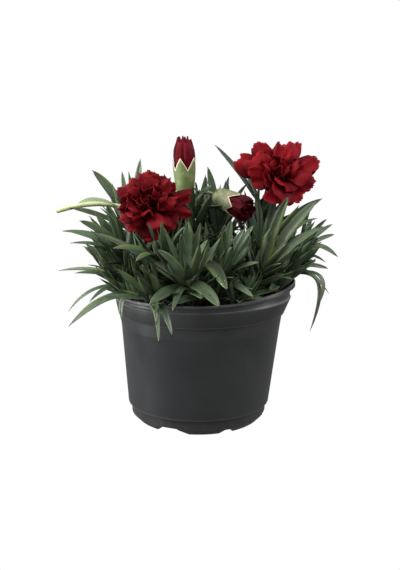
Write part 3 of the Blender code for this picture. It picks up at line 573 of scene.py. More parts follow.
def petal_shape(petal):
    """A fan with a toothed edge. Both faces are split into triangles alike."""
    rows = petal.rows
    top, bottom, starts = [], [], []
    for index, (s, count) in enumerate(rows):
        starts.append(len(top))
        for k in range(count):
            t = -1 + 2 * k / (count - 1)
            along = s
            if index == len(rows) - 1:
                along = s - 0.10 * t * t + (0.03 if k % 2 else -0.05)
            point, up = petal_point(petal, along, t)
            top.append(point + up * (PETAL_THICK / 2))
            bottom.append(point - up * (PETAL_THICK / 2))
    triangles = []
    for (start, (_, count)), (following, (_, wide)) in zip(
            zip(starts, rows), zip(starts[1:], rows[1:])):
        i = j = 0
        while i < count - 1 or j < wide - 1:
            if j < wide - 1 and (i == count - 1 or (j + 1) * (count - 1) <= (i + 1) * (wide - 1)):
                triangles.append((start + i, following + j, following + j + 1))
                j += 1
            else:
                triangles.append((start + i, following + j, start + i + 1))
                i += 1
    total = len(top)
    faces = list(triangles)
    faces += [tuple(total + index for index in reversed(face)) for face in triangles]
    border = list(range(rows[0][1]))
    border += [starts[i] + rows[i][1] - 1 for i in range(1, len(rows))]
    border += [starts[-1] + k for k in range(rows[-1][1] - 2, -1, -1)]
    border += [starts[i] for i in range(len(rows) - 2, 0, -1)]
    for a, b in zip(border, border[1:] + border[:1]):
        faces.append((a, b, total + b, total + a))
    return top + bottom, faces


def bloom_petals(flower, outer, inner_count, random):
    """Petals in layers round the throat, the outer ones spread flat and the inner ones upright."""
    base, direction, length, mouth, _ = flower
    side, up = flower_axes(direction)
    plans = []
    for k, (angle, opening, reach, width) in enumerate(outer):
        plans.append((math.radians(angle), math.radians(opening), reach, width, 1.2, 2.2 * (k % 2)))
    for k in range(inner_count):
        angle = 2 * math.pi * (k / inner_count * 2.0) + random.uniform(-0.2, 0.2)
        share = k / max(1, inner_count - 1)
        opening = math.radians(64 - 50 * share + random.uniform(-5, 5))
        plans.append((angle, opening, 25 - 7 * share, 18 - 4 * share, 2.0, 4.0))
    petals = []
    for angle, opening, reach, width, ruffle, layer in plans:
        outward = side * math.cos(angle) + up * math.sin(angle)
        rise = direction * (6.0 + layer)
        claw = 0.5 * mouth * math.sin(opening)
        throat = base + direction * (1.02 * length) + outward * claw
        tip = throat + rise + outward * (reach * math.sin(opening) - claw) + direction * (
            reach * math.cos(opening) - 1.0)
        bend = throat + rise + outward * (0.25 * reach)
        face = direction - outward * 0.2
        phase = random.uniform(0, 2 * math.pi)
        petals.append(Petal(throat, bend, tip, face, width, ruffle, phase, OPEN_ROWS))
    return petals


def bud_petals(flower, reach, random):
    """Furled petals that stand out of the calyx in a tight, ragged bunch."""
    base, direction, length, mouth, _ = flower
    side, up = around(direction)
    petals = []
    for k in range(FURLED_COUNT):
        angle = 2 * math.pi * k / FURLED_COUNT + random.uniform(-0.2, 0.2)
        outward = side * math.cos(angle) + up * math.sin(angle)
        spread = mouth * (0.85 if k % 2 else 0.5)
        tip = base + direction * (length + reach * random.uniform(0.93, 1.03)) + outward * spread
        throat = base + direction * (0.85 * length) + outward * (0.4 * mouth)
        bend = base + direction * (length + 0.3 * reach) + outward * (spread * 1.45)
        phase = random.uniform(0, 2 * math.pi)
        petals.append(Petal(throat, bend, tip, -outward, 1.25 * mouth, 0.5, phase, FURLED_ROWS))
    return petals


def grow_plant(thicket):
    """Places every stem, flower and leaf by the same rule and the same seeded draws."""
    random = np.random.default_rng(SEED)
    stems = {}

    def add_stem(node, root_xy, end, direction, radius, bends, arch=STEM_ARCH):
        x, y = root_xy
        root = Vector((x, y, soil_height(x, y) - ROOT_DEPTH))
        turn = random.uniform(0, math.pi / 2)
        stems[node] = make_stem(root, Vector(end), direction.normalized(), radius, turn, bends, arch)
        thicket.add(node, stem_shape(stems[node], LEAF_ROOM))

    thicket.add("pot", pot_shape())
    flowers = {}
    for node, (root, base, facing, length, mouth, _, _) in FLOWER_STEMS.items():
        facing = Vector(facing).normalized()
        add_stem(node, root, base, facing, STEM_RADIUS, FLOWER_STEM_BENDS)
        teeth = OPEN_TEETH if node in ("flower_stem_left", "flower_stem_right") else BUD_TEETH
        flowers[node] = Flower(Vector(base), facing, length, mouth, teeth)
        thicket.add(node, calyx_shape(flowers[node]))
    petals = {
        "bloom_left": bloom_petals(flowers["flower_stem_left"], LEFT_OUTER, LEFT_INNER_COUNT, random),
        "bloom_right": bloom_petals(flowers["flower_stem_right"], RIGHT_OUTER, RIGHT_INNER_COUNT, random),
        "bud_upright": bud_petals(flowers["flower_stem_upright"], UPRIGHT_REACH, random),
        "bud_side": bud_petals(flowers["flower_stem_side"], SIDE_REACH, random),
    }
    for node, several in petals.items():
        thicket.add(node, core_shape(flowers[flower_stem_of(node)]))
        for petal in several:
            thicket.add(node, petal_shape(petal))

    add_stem("cut_stem", CUT_STEM_ROOT, CUT_STEM_END, Vector(CUT_STEM_FACING), CUT_STEM_RADIUS,
             FLOWER_STEM_BENDS, CUT_STEM_ARCH)
    for i, (root, crown, _, _) in enumerate(LEAFY_STEMS, start=1):
        lean = Vector(crown) - Vector((*root, SOIL_TOP - 20))
        add_stem(f"leafy_stem_{i:02d}", root, crown, lean, STEM_RADIUS, LEAFY_STEM_BENDS)
    thicket.add("soil", skin(soil_rings((66, 44, 22), 24)))

    # Leaves at the outline come first, then the pairs that fill each stem
    leaves = {node: [] for node in stems}
    outline_tips = {}
    pair_gaps = {}
    for i, (_, _, pairs, tips) in enumerate(LEAFY_STEMS, start=1):
        outline_tips[f"leafy_stem_{i:02d}"] = (tips, FIRST_OUTLINE_GAP)
        pair_gaps[f"leafy_stem_{i:02d}"] = PAIR_GAPS[:pairs]
    for node, (_, _, _, _, _, pairs, tips) in FLOWER_STEMS.items():
        outline_tips[node] = (tips, FLOWER_OUTLINE_GAP)
        pair_gaps[node] = FLOWER_PAIR_GAPS[:pairs]
    outline_tips["cut_stem"] = ([CUT_STEM_LEAF_TIP], CUT_STEM_LEAF_GAP)
    for node, (tips, gap) in outline_tips.items():
        for k, tip in enumerate(tips):
            root, direction = stem_at(stems[node], gap + OUTLINE_GAP_STEP * k)
            leaves[node] += thicket.place(node, outline_leaf_tries(root, tip, direction))
    for node, gaps in pair_gaps.items():
        for k, gap in enumerate(gaps):
            root, direction = stem_at(stems[node], gap)
            if root.z < CLEAR_OF_SOIL:
                continue
            frame_vectors = stem_frame(direction, stems[node].turn)
            share = k / max(1, len(gaps) - 1)
            for half_turn in (0, math.pi):
                azimuth = k * math.pi / 2 + half_turn + random.uniform(-0.12, 0.12)
                spread = math.radians(22 + 48 * share + random.uniform(-6, 8))
                length = LEAF_LENGTH * random.uniform(0.82, 1.12) * (0.85 + 0.2 * share)
                width = LEAF_WIDTH * random.uniform(0.7, 1.0)
                droop = 0.05 + 0.18 * share
                tries = pair_leaf_tries(root, direction, frame_vectors, azimuth, spread, length, droop, width)
                leaves[node] += thicket.place(node, tries)
    return Plant(stems, leaves, flowers, petals)


def flower_stem_of(bloom):
    """Name of the stem that carries a bloom or bud."""
    return "flower_stem_" + bloom.split("_")[1]


# Modelling tools

def deselect():
    bpy.ops.object.select_all(action="DESELECT")


def select_only(obj):
    deselect()
    obj.select_set(True)
    bpy.context.view_layer.objects.active = obj


def edit(obj):
    """Opens a mesh in edit mode with nothing selected."""
    select_only(obj)
    bpy.ops.object.mode_set(mode="EDIT")
    bpy.ops.mesh.select_mode(type="VERT")
    bpy.ops.mesh.select_all(action="DESELECT")


def pick(obj, test):
    """Selects the vertices that pass a test, in edit mode, and drops the rest of the selection."""
    mesh = bmesh.from_edit_mesh(obj.data)
    for vertex in mesh.verts:
        vertex.select_set(bool(test(vertex.co)))
    mesh.select_flush_mode()
    bmesh.update_edit_mesh(obj.data)


def close_edit():
    bpy.ops.object.mode_set(mode="OBJECT")


def apply_modifier(obj, modifier):
    with bpy.context.temp_override(object=obj, active_object=obj):
        bpy.ops.object.modifier_apply(modifier=modifier.name)


def add_sheet(rows, columns):
    """A flat sheet, 1 long along +X and 1 wide."""
    deselect()
    bpy.ops.mesh.primitive_grid_add(
        x_subdivisions=rows, y_subdivisions=columns, size=1.0, location=(0.5, 0, 0))
    bpy.ops.object.transform_apply(location=True)
    return bpy.context.object


def add_tube(sides, rows, ends):
    """An upright tube of radius 1 and height 1, cut into rows."""
    deselect()
    bpy.ops.mesh.primitive_cylinder_add(
        vertices=sides, radius=1.0, depth=1.0, location=(0, 0, 0.5), end_fill_type=ends)
    tube = bpy.context.object
    bpy.ops.object.transform_apply(location=True)
    edit(tube)
    for row in range(1, rows):
        bpy.ops.mesh.select_all(action="SELECT")
        bpy.ops.mesh.bisect(plane_co=(0, 0, row / rows), plane_no=(0, 0, 1))
    close_edit()
    return tube


def turn_shape(profile, segments, close_end):
    """A shape turned about the Z axis: a disc, then ring after ring, with its last ring closed."""
    deselect()
    radius, height = profile[0]
    bpy.ops.mesh.primitive_circle_add(
        vertices=segments, radius=radius * MM, fill_type="NGON", location=(0, 0, height * MM))
    shape = bpy.context.object
    bpy.ops.object.transform_apply(location=True)
    edit(shape)
    bpy.ops.mesh.select_all(action="SELECT")
    for next_radius, next_height in profile[1:]:
        bpy.ops.mesh.extrude_edges_move(TRANSFORM_OT_translate={"value": (0, 0, (next_height - height) * MM)})
        scale = next_radius / radius
        bpy.ops.transform.resize(value=(scale, scale, 1.0), center_override=(0, 0, next_height * MM))
        radius, height = next_radius, next_height
    close_end()
    bpy.ops.mesh.select_all(action="SELECT")
    bpy.ops.mesh.normals_make_consistent(inside=False)
    close_edit()
    return shape


def close_sheet(obj, thickness):
    """Gives a sheet an even wall, half to each side."""
    wall = obj.modifiers.new("Wall", "SOLIDIFY")
    wall.thickness = thickness
    wall.offset = 0.0
    apply_modifier(obj, wall)
    return obj


def roughen(obj, name, size, height, depth=2, **settings):
    """Displaces a mesh by cloudy noise, with lumps of a given size and height."""
    lumps = obj.modifiers.new("Lumps", "DISPLACE")
    lumps.texture = bpy.data.textures.new(name, "CLOUDS")
    lumps.texture.noise_scale = size
    lumps.texture.noise_depth = depth
    lumps.strength = height
    for setting, value in settings.items():
        setattr(lumps, setting, value)
    apply_modifier(obj, lumps)


def read_points(mesh):
    points = np.empty(len(mesh.vertices) * 3)
    mesh.vertices.foreach_get("co", points)
    return points.reshape(-1, 3)


def write_points(mesh, points):
    mesh.vertices.foreach_set("co", np.asarray(points, float).ravel())
    mesh.update()


def mark(mesh, name, values):
    """Gives each vertex a number that the materials read."""
    attribute = mesh.attributes.new(name, "FLOAT", "POINT")
    attribute.data.foreach_set("value", np.broadcast_to(values, len(mesh.vertices)).astype(np.float32))


def unit(vectors):
    return vectors / np.maximum(np.linalg.norm(vectors, axis=-1, keepdims=True), 1e-9)


def copy_of(template, points, material, marks):
    """A copy of a template with its own mesh, laid out in millimetres."""
    mesh = template.data.copy()
    write_points(mesh, points * MM)
    mesh.materials.clear()
    mesh.materials.append(material)
    for name, values in marks.items():
        mark(mesh, name, values)
    obj = bpy.data.objects.new("copy", mesh)
    bpy.context.scene.collection.objects.link(obj)
    return obj


def join(name, objects):
    """Makes several objects one piece."""
    deselect()
    for obj in objects:
        obj.select_set(True)
    bpy.context.view_layer.objects.active = objects[0]
    if len(objects) > 1:
        bpy.ops.object.join()
    piece = bpy.context.view_layer.objects.active
    piece.name = name
    piece.data.name = name
    piece.data.shade_smooth()
    return piece


def settle(piece, slot, *nodes):
    """Puts a finished piece on the plant in place of its solids."""
    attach(piece, "root")
    if nodes:
        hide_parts(*nodes)


# Materials

class Finish:
    """Short names for the nodes of one material."""

    def __init__(self, name, roughness, **constants):
        self.material = bpy.data.materials.new(name)
        self.material.use_nodes = True
        self.nodes = self.material.node_tree.nodes
        self.links = self.material.node_tree.links
        self.shader = self.nodes["Principled BSDF"]
        self.feed(self.shader.inputs["Roughness"], roughness)
        for socket, value in constants.items():
            self.shader.inputs[socket.replace("_", " ")].default_value = value

    def feed(self, socket, value):
        if isinstance(value, bpy.types.NodeSocket):
            self.links.new(value, socket)
        else:
            socket.default_value = value

    def add(self, kind, inputs=(), output=0, **settings):
        node = self.nodes.new("ShaderNode" + kind)
        for name, value in settings.items():
            setattr(node, name, value)
        for name, value in dict(inputs).items():
            self.feed(node.inputs[name], value)
        return node.outputs[output]

    def place(self):
        return self.add("TexCoord", output="Object")

    def uv(self):
        split = self.add("SeparateXYZ", {0: self.add("TexCoord", output="UV")}).node
        return split.outputs[0], split.outputs[1]

    def number(self, name):
        return self.add("Attribute", output="Fac", attribute_name=name)

    def calc(self, operation, a, b=0.0):
        return self.add("Math", {0: a, 1: b}, operation=operation)

    def times(self, a, b):
        return self.calc("MULTIPLY", a, b)

    def plus(self, a, b):
        return self.calc("ADD", a, b)

    def waves(self, value, speed):
        return self.calc("SINE", self.times(value, speed))

    def apart(self, value, middle):
        return self.calc("ABSOLUTE", self.calc("SUBTRACT", value, middle))

    def fade(self, value, low, high, to_low=0.0, to_high=1.0):
        """A smooth step from one number to another as a value goes from low to high."""
        return self.add("MapRange", {"Value": value, "From Min": low, "From Max": high, "To Min": to_low,
                                     "To Max": to_high}, interpolation_type="SMOOTHSTEP")

    def noise(self, scale, detail=3.0, stretch=None, roughness=0.55):
        vector = self.place()
        if stretch:
            vector = self.add("Mapping", {"Vector": vector, "Scale": stretch})
        return self.add("TexNoise", {"Vector": vector, "Scale": scale, "Detail": detail,
                                     "Roughness": roughness})

    def blend(self, factor, a, b):
        node = self.nodes.new("ShaderNodeMix")
        node.data_type = "RGBA"
        self.feed(node.inputs[0], factor)
        self.feed(node.inputs[6], (*a, 1.0) if isinstance(a, tuple) else a)
        self.feed(node.inputs[7], (*b, 1.0) if isinstance(b, tuple) else b)
        return node.outputs[2]

    def colour(self, value):
        self.feed(self.shader.inputs["Base Color"], value)

    def rough(self, value):
        self.feed(self.shader.inputs["Roughness"], value)

    def relief(self, height, strength, distance):
        bump = self.add("Bump", {"Height": height, "Strength": strength, "Distance": distance * MM})
        self.links.new(bump, self.shader.inputs["Normal"])


LEAF_COLOURS = {
    "dark": (0.013, 0.029, 0.0125),
    "light": (0.061, 0.100, 0.048),
    "olive": (0.036, 0.049, 0.019),
    "wax": (0.062, 0.092, 0.066),
    "young": (0.120, 0.165, 0.038),
    "base": (0.095, 0.130, 0.045),
    "midrib": (0.075, 0.110, 0.060),
    "margin": (0.100, 0.135, 0.090),
    "tip": (0.030, 0.022, 0.014),
    "speck": (0.070, 0.100, 0.075),
    "pale": (0.210, 0.265, 0.140),
    "dry": (0.105, 0.074, 0.044),
}
STEM_COLOURS = {
    "dark": (0.060, 0.095, 0.036),
    "light": (0.105, 0.145, 0.062),
    "joint": (0.180, 0.210, 0.080),
    "wood": (0.100, 0.056, 0.030),
}
PALE_STEM_COLOURS = {
    "dark": (0.300, 0.350, 0.150),
    "light": (0.440, 0.470, 0.250),
    "shaded": (0.110, 0.150, 0.060),
    "cut": (0.240, 0.170, 0.080),
}
PAPERY_MARGIN = (0.520, 0.430, 0.300)
# Painted shade: the near-black red laid towards each petal's throat, where shade falls in the folds
THROAT_PAINTED_SHADE = (0.022, 0.0010, 0.0030)
PLASTIC_COLOURS = {
    "dark": (0.0185, 0.0192, 0.0202),
    "light": (0.0245, 0.0252, 0.0262),
    "scratch": (0.050, 0.050, 0.050),
    "painted_edge_highlight": (0.080, 0.081, 0.083),
    # Painted highlight: a lighter grey for thin lines along the pot's edges, where they catch light
    "dust": (0.050, 0.043, 0.035),
    "splash": (0.040, 0.034, 0.028),
}
PEAT_COLOURS = {
    "dark": (0.006, 0.0045, 0.0038),
    "light": (0.034, 0.022, 0.015),
    "moist": (0.018, 0.012, 0.008),
    "chalk": (0.50, 0.48, 0.44),
}
WATER = (0.92, 0.95, 0.93, 1.0)


def leaf_finish():
    """Dark blue-green blades with a waxy bloom, a paler base and midrib, fine veins along them."""
    f = Finish("leaf_skin", 0.5, Specular_IOR_Level=0.34)
    colours = LEAF_COLOURS
    across_blade, along = f.uv()
    youth = f.number("youth")
    off_centre = f.apart(across_blade, 0.5)
    green = f.blend(f.number("tone"), colours["dark"], colours["light"])
    green = f.blend(f.number("olive"), green, colours["olive"])
    green = f.blend(f.fade(f.noise(60.0), 0.45, 0.72, 0.0, 0.5), green, colours["wax"])
    green = f.blend(f.times(youth, f.fade(along, 0.70, 0.0)), green, colours["young"])
    green = f.blend(f.fade(along, 0.16, 0.0, 0.0, 0.40), green, colours["base"])
    midrib = f.times(f.fade(off_centre, 0.05, 0.0), f.fade(along, 0.95, 0.3, 0.0, 0.40))
    green = f.blend(midrib, green, colours["midrib"])
    green = f.blend(f.fade(off_centre, 0.485, 0.5, 0.0, 0.30), green, colours["margin"])
    green = f.blend(f.fade(along, 0.965, 1.0, 0.0, 0.8), green, colours["tip"])
    speckle = f.noise(900.0, 2.0)
    green = f.blend(f.fade(speckle, 0.35, 0.75, 0.0, 0.20), green, colours["speck"])
    green = f.blend(f.number("pale"), green, colours["pale"])
    green = f.blend(f.number("dry"), green, colours["dry"])
    f.colour(green)
    f.rough(f.fade(f.noise(140.0, 2.0), 0.3, 0.7, 0.36, 0.52))
    veins = f.waves(across_blade, 70.0)
    height = f.plus(f.times(veins, 0.35), f.times(speckle, 0.8))
    f.relief(height, 0.25, 0.10)
    return f.material


def stem_finish():
    """Waxy green, paler at the swollen joints, with old pinkish brown wood near the soil."""
    f = Finish("stem_skin", 0.5, Specular_IOR_Level=0.32)
    colours = STEM_COLOURS
    height = f.add("SeparateXYZ", {0: f.place()}, output=2)
    green = f.blend(f.fade(f.noise(90.0), 0.35, 0.7), colours["dark"], colours["light"])
    green = f.blend(f.fade(f.number("joint"), 0.0, 1.0, 0.0, 0.7), green, colours["joint"])
    green = f.blend(f.fade(height, 0.118, 0.094, 0.0, 0.85), green, colours["wood"])
    f.colour(green)
    fibres = f.noise(260.0, 3.0, (3.0, 3.0, 0.4))
    f.rough(f.fade(fibres, 0.3, 0.7, 0.42, 0.62))
    f.relief(fibres, 0.3, 0.12)
    return f.material


def pale_stem_finish():
    """The pruned stem: yellowish white green that darkens at its cut end."""
    f = Finish("pale_stem_skin", 0.5, Specular_IOR_Level=0.34)
    colours = PALE_STEM_COLOURS
    along = f.number("along")
    pale = f.blend(f.fade(f.noise(70.0), 0.3, 0.7), colours["dark"], colours["light"])
    pale = f.blend(f.fade(along, 0.78, 0.55), pale, colours["shaded"])
    pale = f.blend(f.fade(along, 0.985, 1.0, 0.0, 0.6), pale, colours["cut"])
    f.colour(pale)
    fibres = f.noise(300.0, 3.0, (0.5, 2.0, 2.0))
    f.relief(fibres, 0.25, 0.12)
    return f.material


def calyx_finish(name, low, high, rib, margin):
    """Waxy cup with fine ribs, green at its foot and with thin papery margins on its teeth."""
    f = Finish(name, 0.52, Specular_IOR_Level=0.32)
    turn, along = f.uv()
    rim = f.number("rim")
    skin_colour = f.blend(f.fade(along, 0.1, 0.9), low, high)
    skin_colour = f.blend(f.fade(f.noise(150.0, 4.0), 0.46, 0.66, 0.0, 0.55), skin_colour, margin)
    ribs = f.waves(turn, 2 * math.pi * CALYX_RIBS)
    skin_colour = f.blend(f.fade(ribs, 0.2, 1.0, 0.0, 0.40), skin_colour, rib)
    skin_colour = f.blend(f.fade(rim, 0.9, 0.35), skin_colour, PAPERY_MARGIN)
    f.colour(skin_colour)
    f.relief(f.plus(ribs, f.times(f.noise(700.0), 1.5)), 0.25, 0.12)
    return f.material


def petal_finish(name, dark, light, edge):
    """Velvet red, with painted shade that turns it nearly black towards the throat in the folds' depth, and
    fine veins that fan out to the edge.
    """
    f = Finish(name, 0.62, Specular_IOR_Level=0.06, Sheen_Weight=0.05, Sheen_Roughness=0.4,
               Sheen_Tint=(0.80, 0.04, 0.06, 1.0))
    across_petal, along = f.uv()
    red = f.blend(f.number("tone"), dark, light)
    red = f.blend(f.fade(f.noise(110.0), 0.35, 0.72, 0.0, 0.5), red, dark)
    # Painted shade: near-black red towards the throat, where shade falls deep in the folds
    red = f.blend(f.fade(along, 0.50, 0.0, 0.0, 0.75), red, THROAT_PAINTED_SHADE)
    veins = f.waves(across_petal, 150.0)
    red = f.blend(f.fade(veins, 0.0, 1.0, 0.0, 0.22), red, dark)
    red = f.blend(f.fade(along, 0.96, 1.0, 0.0, 0.7), red, edge)
    f.colour(red)
    f.relief(f.plus(veins, f.times(f.noise(1500.0), 1.6)), 0.35, 0.10)
    return f.material


def plastic_finish():
    """Satin black moulded plastic with a fine grain, painted highlights along its edges, faint scratches and
    dust.
    """
    f = Finish("pot_plastic_black", 0.40, Specular_IOR_Level=0.42)
    colours = PLASTIC_COLOURS
    height = f.add("SeparateXYZ", {0: f.place()}, output=2)
    grain = f.noise(1400.0, 2.0)
    cloud = f.noise(18.0, 4.0)
    scratches = f.noise(90.0, 4.0, (0.35, 0.35, 9.0), 0.7)
    black = f.blend(f.fade(cloud, 0.35, 0.7), colours["dark"], colours["light"])
    black = f.blend(f.fade(scratches, 0.68, 0.78, 0.0, 0.25), black, colours["scratch"])
    # Painted highlight: thin lighter lines at the heights of the pot's edges, where they catch light
    for edge in (LOWER_STEP, BAND_BOTTOM, BAND_TOP, LIP_TOP):
        away = f.apart(height, edge * MM)
        black = f.blend(f.fade(away, 0.0009, 0.0002, 0.0, 0.5), black, colours["painted_edge_highlight"])
    dust = f.times(f.fade(height, 0.022, 0.0, 0.0, 0.45), f.fade(f.noise(160.0, 4.0), 0.45, 0.68))
    black = f.blend(dust, black, colours["dust"])
    spots = f.fade(f.noise(240.0, 4.0), 0.58, 0.72)
    splash = f.times(f.fade(height, 0.090, 0.112, 0.0, 0.4), spots)
    black = f.blend(splash, black, colours["splash"])
    f.colour(black)
    worn = f.plus(f.fade(cloud, 0.3, 0.75, 0.34, 0.46), f.fade(scratches, 0.6, 0.78, 0.0, 0.12))
    f.rough(worn)
    f.relief(f.plus(f.times(grain, 0.6), f.times(scratches, 0.5)), 0.22, 0.08)
    return f.material


def peat_finish():
    """Dark moist peat, with a tone of its own for each crumb."""
    f = Finish("peat", 0.95, Specular_IOR_Level=0.25)
    colours = PEAT_COLOURS
    tone = f.number("tone")
    brown = f.blend(tone, colours["dark"], colours["light"])
    brown = f.blend(f.fade(f.noise(420.0, 4.0), 0.35, 0.70), brown, colours["moist"])
    brown = f.blend(f.number("chalk"), brown, colours["chalk"])
    f.colour(brown)
    f.relief(f.noise(900.0, 5.0), 0.7, 0.4)
    return f.material


def water_finish():
    f = Finish("water_drop", 0.03, Specular_IOR_Level=0.8, IOR=1.33, Transmission_Weight=0.85)
    f.colour(WATER)
    return f.material


# Leaves and stems

BLADE_ROWS = 14
BLADE_COLUMNS = 4
# Height across a blade in shares of its width, from the midrib to the margin
BLADE_CHANNEL = (-0.130, -0.005, 0.060)
BLADE_THICK = 0.055
CLASP_WIDTH = 0.30
STEM_ROWS = 44
STEM_COLUMNS = 10
# A round stem fills less than the corners of its solid
ROUND_SHARE = 0.80
JOINT_SWELL = 0.55
JOINT_REACH = 1.7
# Distances down from the crown of the leaves that are added here, and the same on a flower's stem
EXTRA_GAPS = (5.0, 12.0, 20.0, 29.0, 40.0, 52.0)
EXTRA_TURNS = (0.0, 0.5 * math.pi, math.pi, 1.5 * math.pi)
FLOWER_EXTRA_START = 26.0
# Leaves on a flower's stem are darker by this factor
FLOWER_LEAF_TONE = 0.3
# A leaf is young this near its crown. It counts as hanging when its tip is no more than HANG_START
# above its root, and as hanging fully HANG_RANGE lower.
YOUTH_REACH = 12.0
HANG_START = 12.0
HANG_RANGE = 50.0
# The leaf on the pruned stem is nearly as pale as the stem
PALE_SHARE = 0.9
# How olive a leaf is at most, how low a dry leaf starts, and the share of dry ones among those
OLIVE_SHARE = 0.8
DRY_BELOW = 116.0
DRY_SHARE = 0.15


def blade_width(s):
    """Share of a leaf's full width: a clasping base, nearly parallel sides and a short blunt point."""
    if s < 0.3:
        swell = s / 0.3
        return CLASP_WIDTH + (1 - CLASP_WIDTH) * swell * swell * (3 - 2 * swell)
    return tip_taper(s)


def model_blade():
    """One blade along +X, 1 long and 1 wide, with a channelled section and an even thickness."""
    blade = add_sheet(BLADE_ROWS, BLADE_COLUMNS)
    levels = sorted({round(v.co.x, 5) for v in blade.data.vertices})
    columns = sorted({round(abs(v.co.y), 5) for v in blade.data.vertices})
    edit(blade)
    for column, height in zip(columns, BLADE_CHANNEL):
        pick(blade, lambda co: abs(abs(co.y) - column) < 1e-4)
        bpy.ops.transform.translate(value=(0, 0, height))
    for level in levels:
        pick(blade, lambda co: abs(co.x - level) < 1e-4)
        share = blade_width(level)
        scale = (1, max(share, 1e-4), 0.35 + 0.65 * share)
        bpy.ops.transform.resize(value=scale, center_override=(level, 0, 0))
    bpy.ops.mesh.select_all(action="SELECT")
    bpy.ops.mesh.remove_doubles(threshold=1e-3)
    close_edit()
    return close_sheet(blade, BLADE_THICK)


def stem_polyline_shift(stem, point):
    """How far the round stem's smooth line lies from the solid's straight pieces, near a point."""
    nearest = None
    for k in range(1, len(stem.points) - 1):
        start, end = stem.points[k], stem.points[k + 1]
        span = end - start
        share = min(1.0, max(0.0, (point - start).dot(span) / span.length_squared))
        on_piece = start + span * share
        distance = (point - on_piece).length
        if nearest is None or distance < nearest[0]:
            t = stem.stations[k] + (stem.stations[k + 1] - stem.stations[k]) * share
            nearest = (distance, cubic(stem.curve, t) - on_piece)
    return nearest[1]


def middle_line(curve, face, s):
    """Points on a sheet's curve at each share of its length, and unit vectors across and above it."""
    root, bend, tip = (np.array(point) for point in curve)
    direction = unit(quadratic_slope(root, bend, tip, s))
    side = unit(np.cross(direction, np.array(face)))
    return quadratic(root, bend, tip, s), side, np.cross(side, direction)


def lay_blade(blade, leaf, shift, random):
    """Bends a copy of the blade along a leaf's curve, with a little twist and wave of its own."""
    template = read_points(blade.data)
    s = np.maximum(template[:, 0:1], 0.0)
    root = leaf.root + shift
    centre, side, up = middle_line((root, leaf.bend, leaf.tip), leaf.face, s)
    twist = random.normal(0.0, 0.24) * s ** 1.5
    side, up = side * np.cos(twist) + up * np.sin(twist), up * np.cos(twist) - side * np.sin(twist)
    phase = random.uniform(0, 2 * math.pi)
    wave = 0.035 * np.sin(7.0 * s + phase) * s
    reach = leaf.width * random.uniform(0.95, 1.08)
    sway = random.normal(0.0, 0.010) * np.sin(math.pi * s) * (leaf.tip - root).length
    return (centre - side * (template[:, 1:2] * reach) + side * sway
            + up * ((template[:, 2:3] + wave * np.abs(template[:, 1:2])) * reach))


def lay_rod(rod, stem, joints):
    """Bends a copy of the rod along a stem, with a swelling at each leaf pair."""
    template = read_points(rod.data)
    t = template[:, 2:3]
    curve = [np.array(point) for point in stem.curve]
    centre = cubic(curve, t)
    direction = unit(cubic_slope(curve, t))
    side = unit(np.cross(direction, np.array((math.sin(stem.turn), math.cos(stem.turn), 0.0))))
    up = np.cross(side, direction)
    swell = np.zeros(len(template))
    for joint in joints:
        away = np.linalg.norm(centre - np.array(joint), axis=1)
        swell = np.maximum(swell, np.exp(-(away / JOINT_REACH) ** 2))
    radius = ROUND_SHARE * stem.radius * (1 - STEM_TAPER * template[:, 2]) + JOINT_SWELL * swell
    offset = side * template[:, 0:1] - up * template[:, 1:2]
    return centre + offset * radius[:, None], swell


def more_leaves(plant, thicket, random):
    """Leaves between the solids' pairs on the same stems, each clear of every other stem's pieces."""
    grown = {}
    for node, stem in plant.stems.items():
        grown[node] = []
        start = 0.0 if node.startswith("leafy") else FLOWER_EXTRA_START
        for k, gap in enumerate(EXTRA_GAPS):
            root, direction = stem_at(stem, start + gap)
            if root.z < CLEAR_OF_SOIL - 2.0 or node == "cut_stem":
                continue
            frame_vectors = stem_frame(direction, stem.turn)
            for turn in EXTRA_TURNS:
                azimuth = (k + 0.5) * math.pi / 2 + turn + random.uniform(-0.4, 0.4)
                spread = math.radians(12 + 12 * k + random.uniform(-8, 20))
                length = LEAF_LENGTH * random.uniform(0.60, 1.05)
                width = LEAF_WIDTH * random.uniform(0.5, 0.95)
                tries = pair_leaf_tries(root, direction, frame_vectors, azimuth, spread, length, 0.10, width)
                grown[node] += thicket.place(node, tries)
    return grown


def dress_stem(node, plant, extra, blade, rod, materials, random):
    """The round stem and the fine leaves of one node, as two lists of objects."""
    stem = plant.stems[node]
    leaves = plant.leaves[node] + extra[node]
    shifts = [stem_polyline_shift(stem, leaf.root) for leaf in leaves]
    joints = [leaf.root + shift for leaf, shift in zip(leaves, shifts)]
    points, swell = lay_rod(rod, stem, joints)
    along = read_points(rod.data)[:, 2]
    skin_name = "pale_stem" if node == "cut_stem" else "stem"
    tube = copy_of(rod, points, materials[skin_name], {"joint": swell, "along": along})
    blades = []
    stem_tone = random.uniform(0.25, 0.75)
    for leaf, shift in zip(leaves, shifts):
        tone = min(1.0, max(0.0, random.normal(stem_tone, 0.30)))
        if node in plant.flowers:
            tone *= FLOWER_LEAF_TONE
        near_crown = (leaf.root - stem.points[-1]).length
        youth = max(0.0, 1.0 - near_crown / YOUTH_REACH) * random.uniform(0.1, 0.9)
        hanging = min(1.0, max(0.0, (leaf.root.z - leaf.tip.z + HANG_START) / HANG_RANGE))
        olive = max(hanging, OLIVE_SHARE * random.uniform()) * random.uniform(0.3, 1.0)
        inner = leaf.root.z < DRY_BELOW and math.hypot(leaf.tip.x, leaf.tip.y) < BODY_TOP_RADIUS
        dry = random.uniform(0.5, 0.9) if inner and random.uniform() < DRY_SHARE else 0.0
        pale = PALE_SHARE if node == "cut_stem" else 0.0
        marks = {"tone": tone, "youth": youth, "olive": olive, "dry": dry, "pale": pale}
        blades.append(copy_of(blade, lay_blade(blade, leaf, shift, random), materials["leaf"], marks))
    return tube, blades


# Flowers

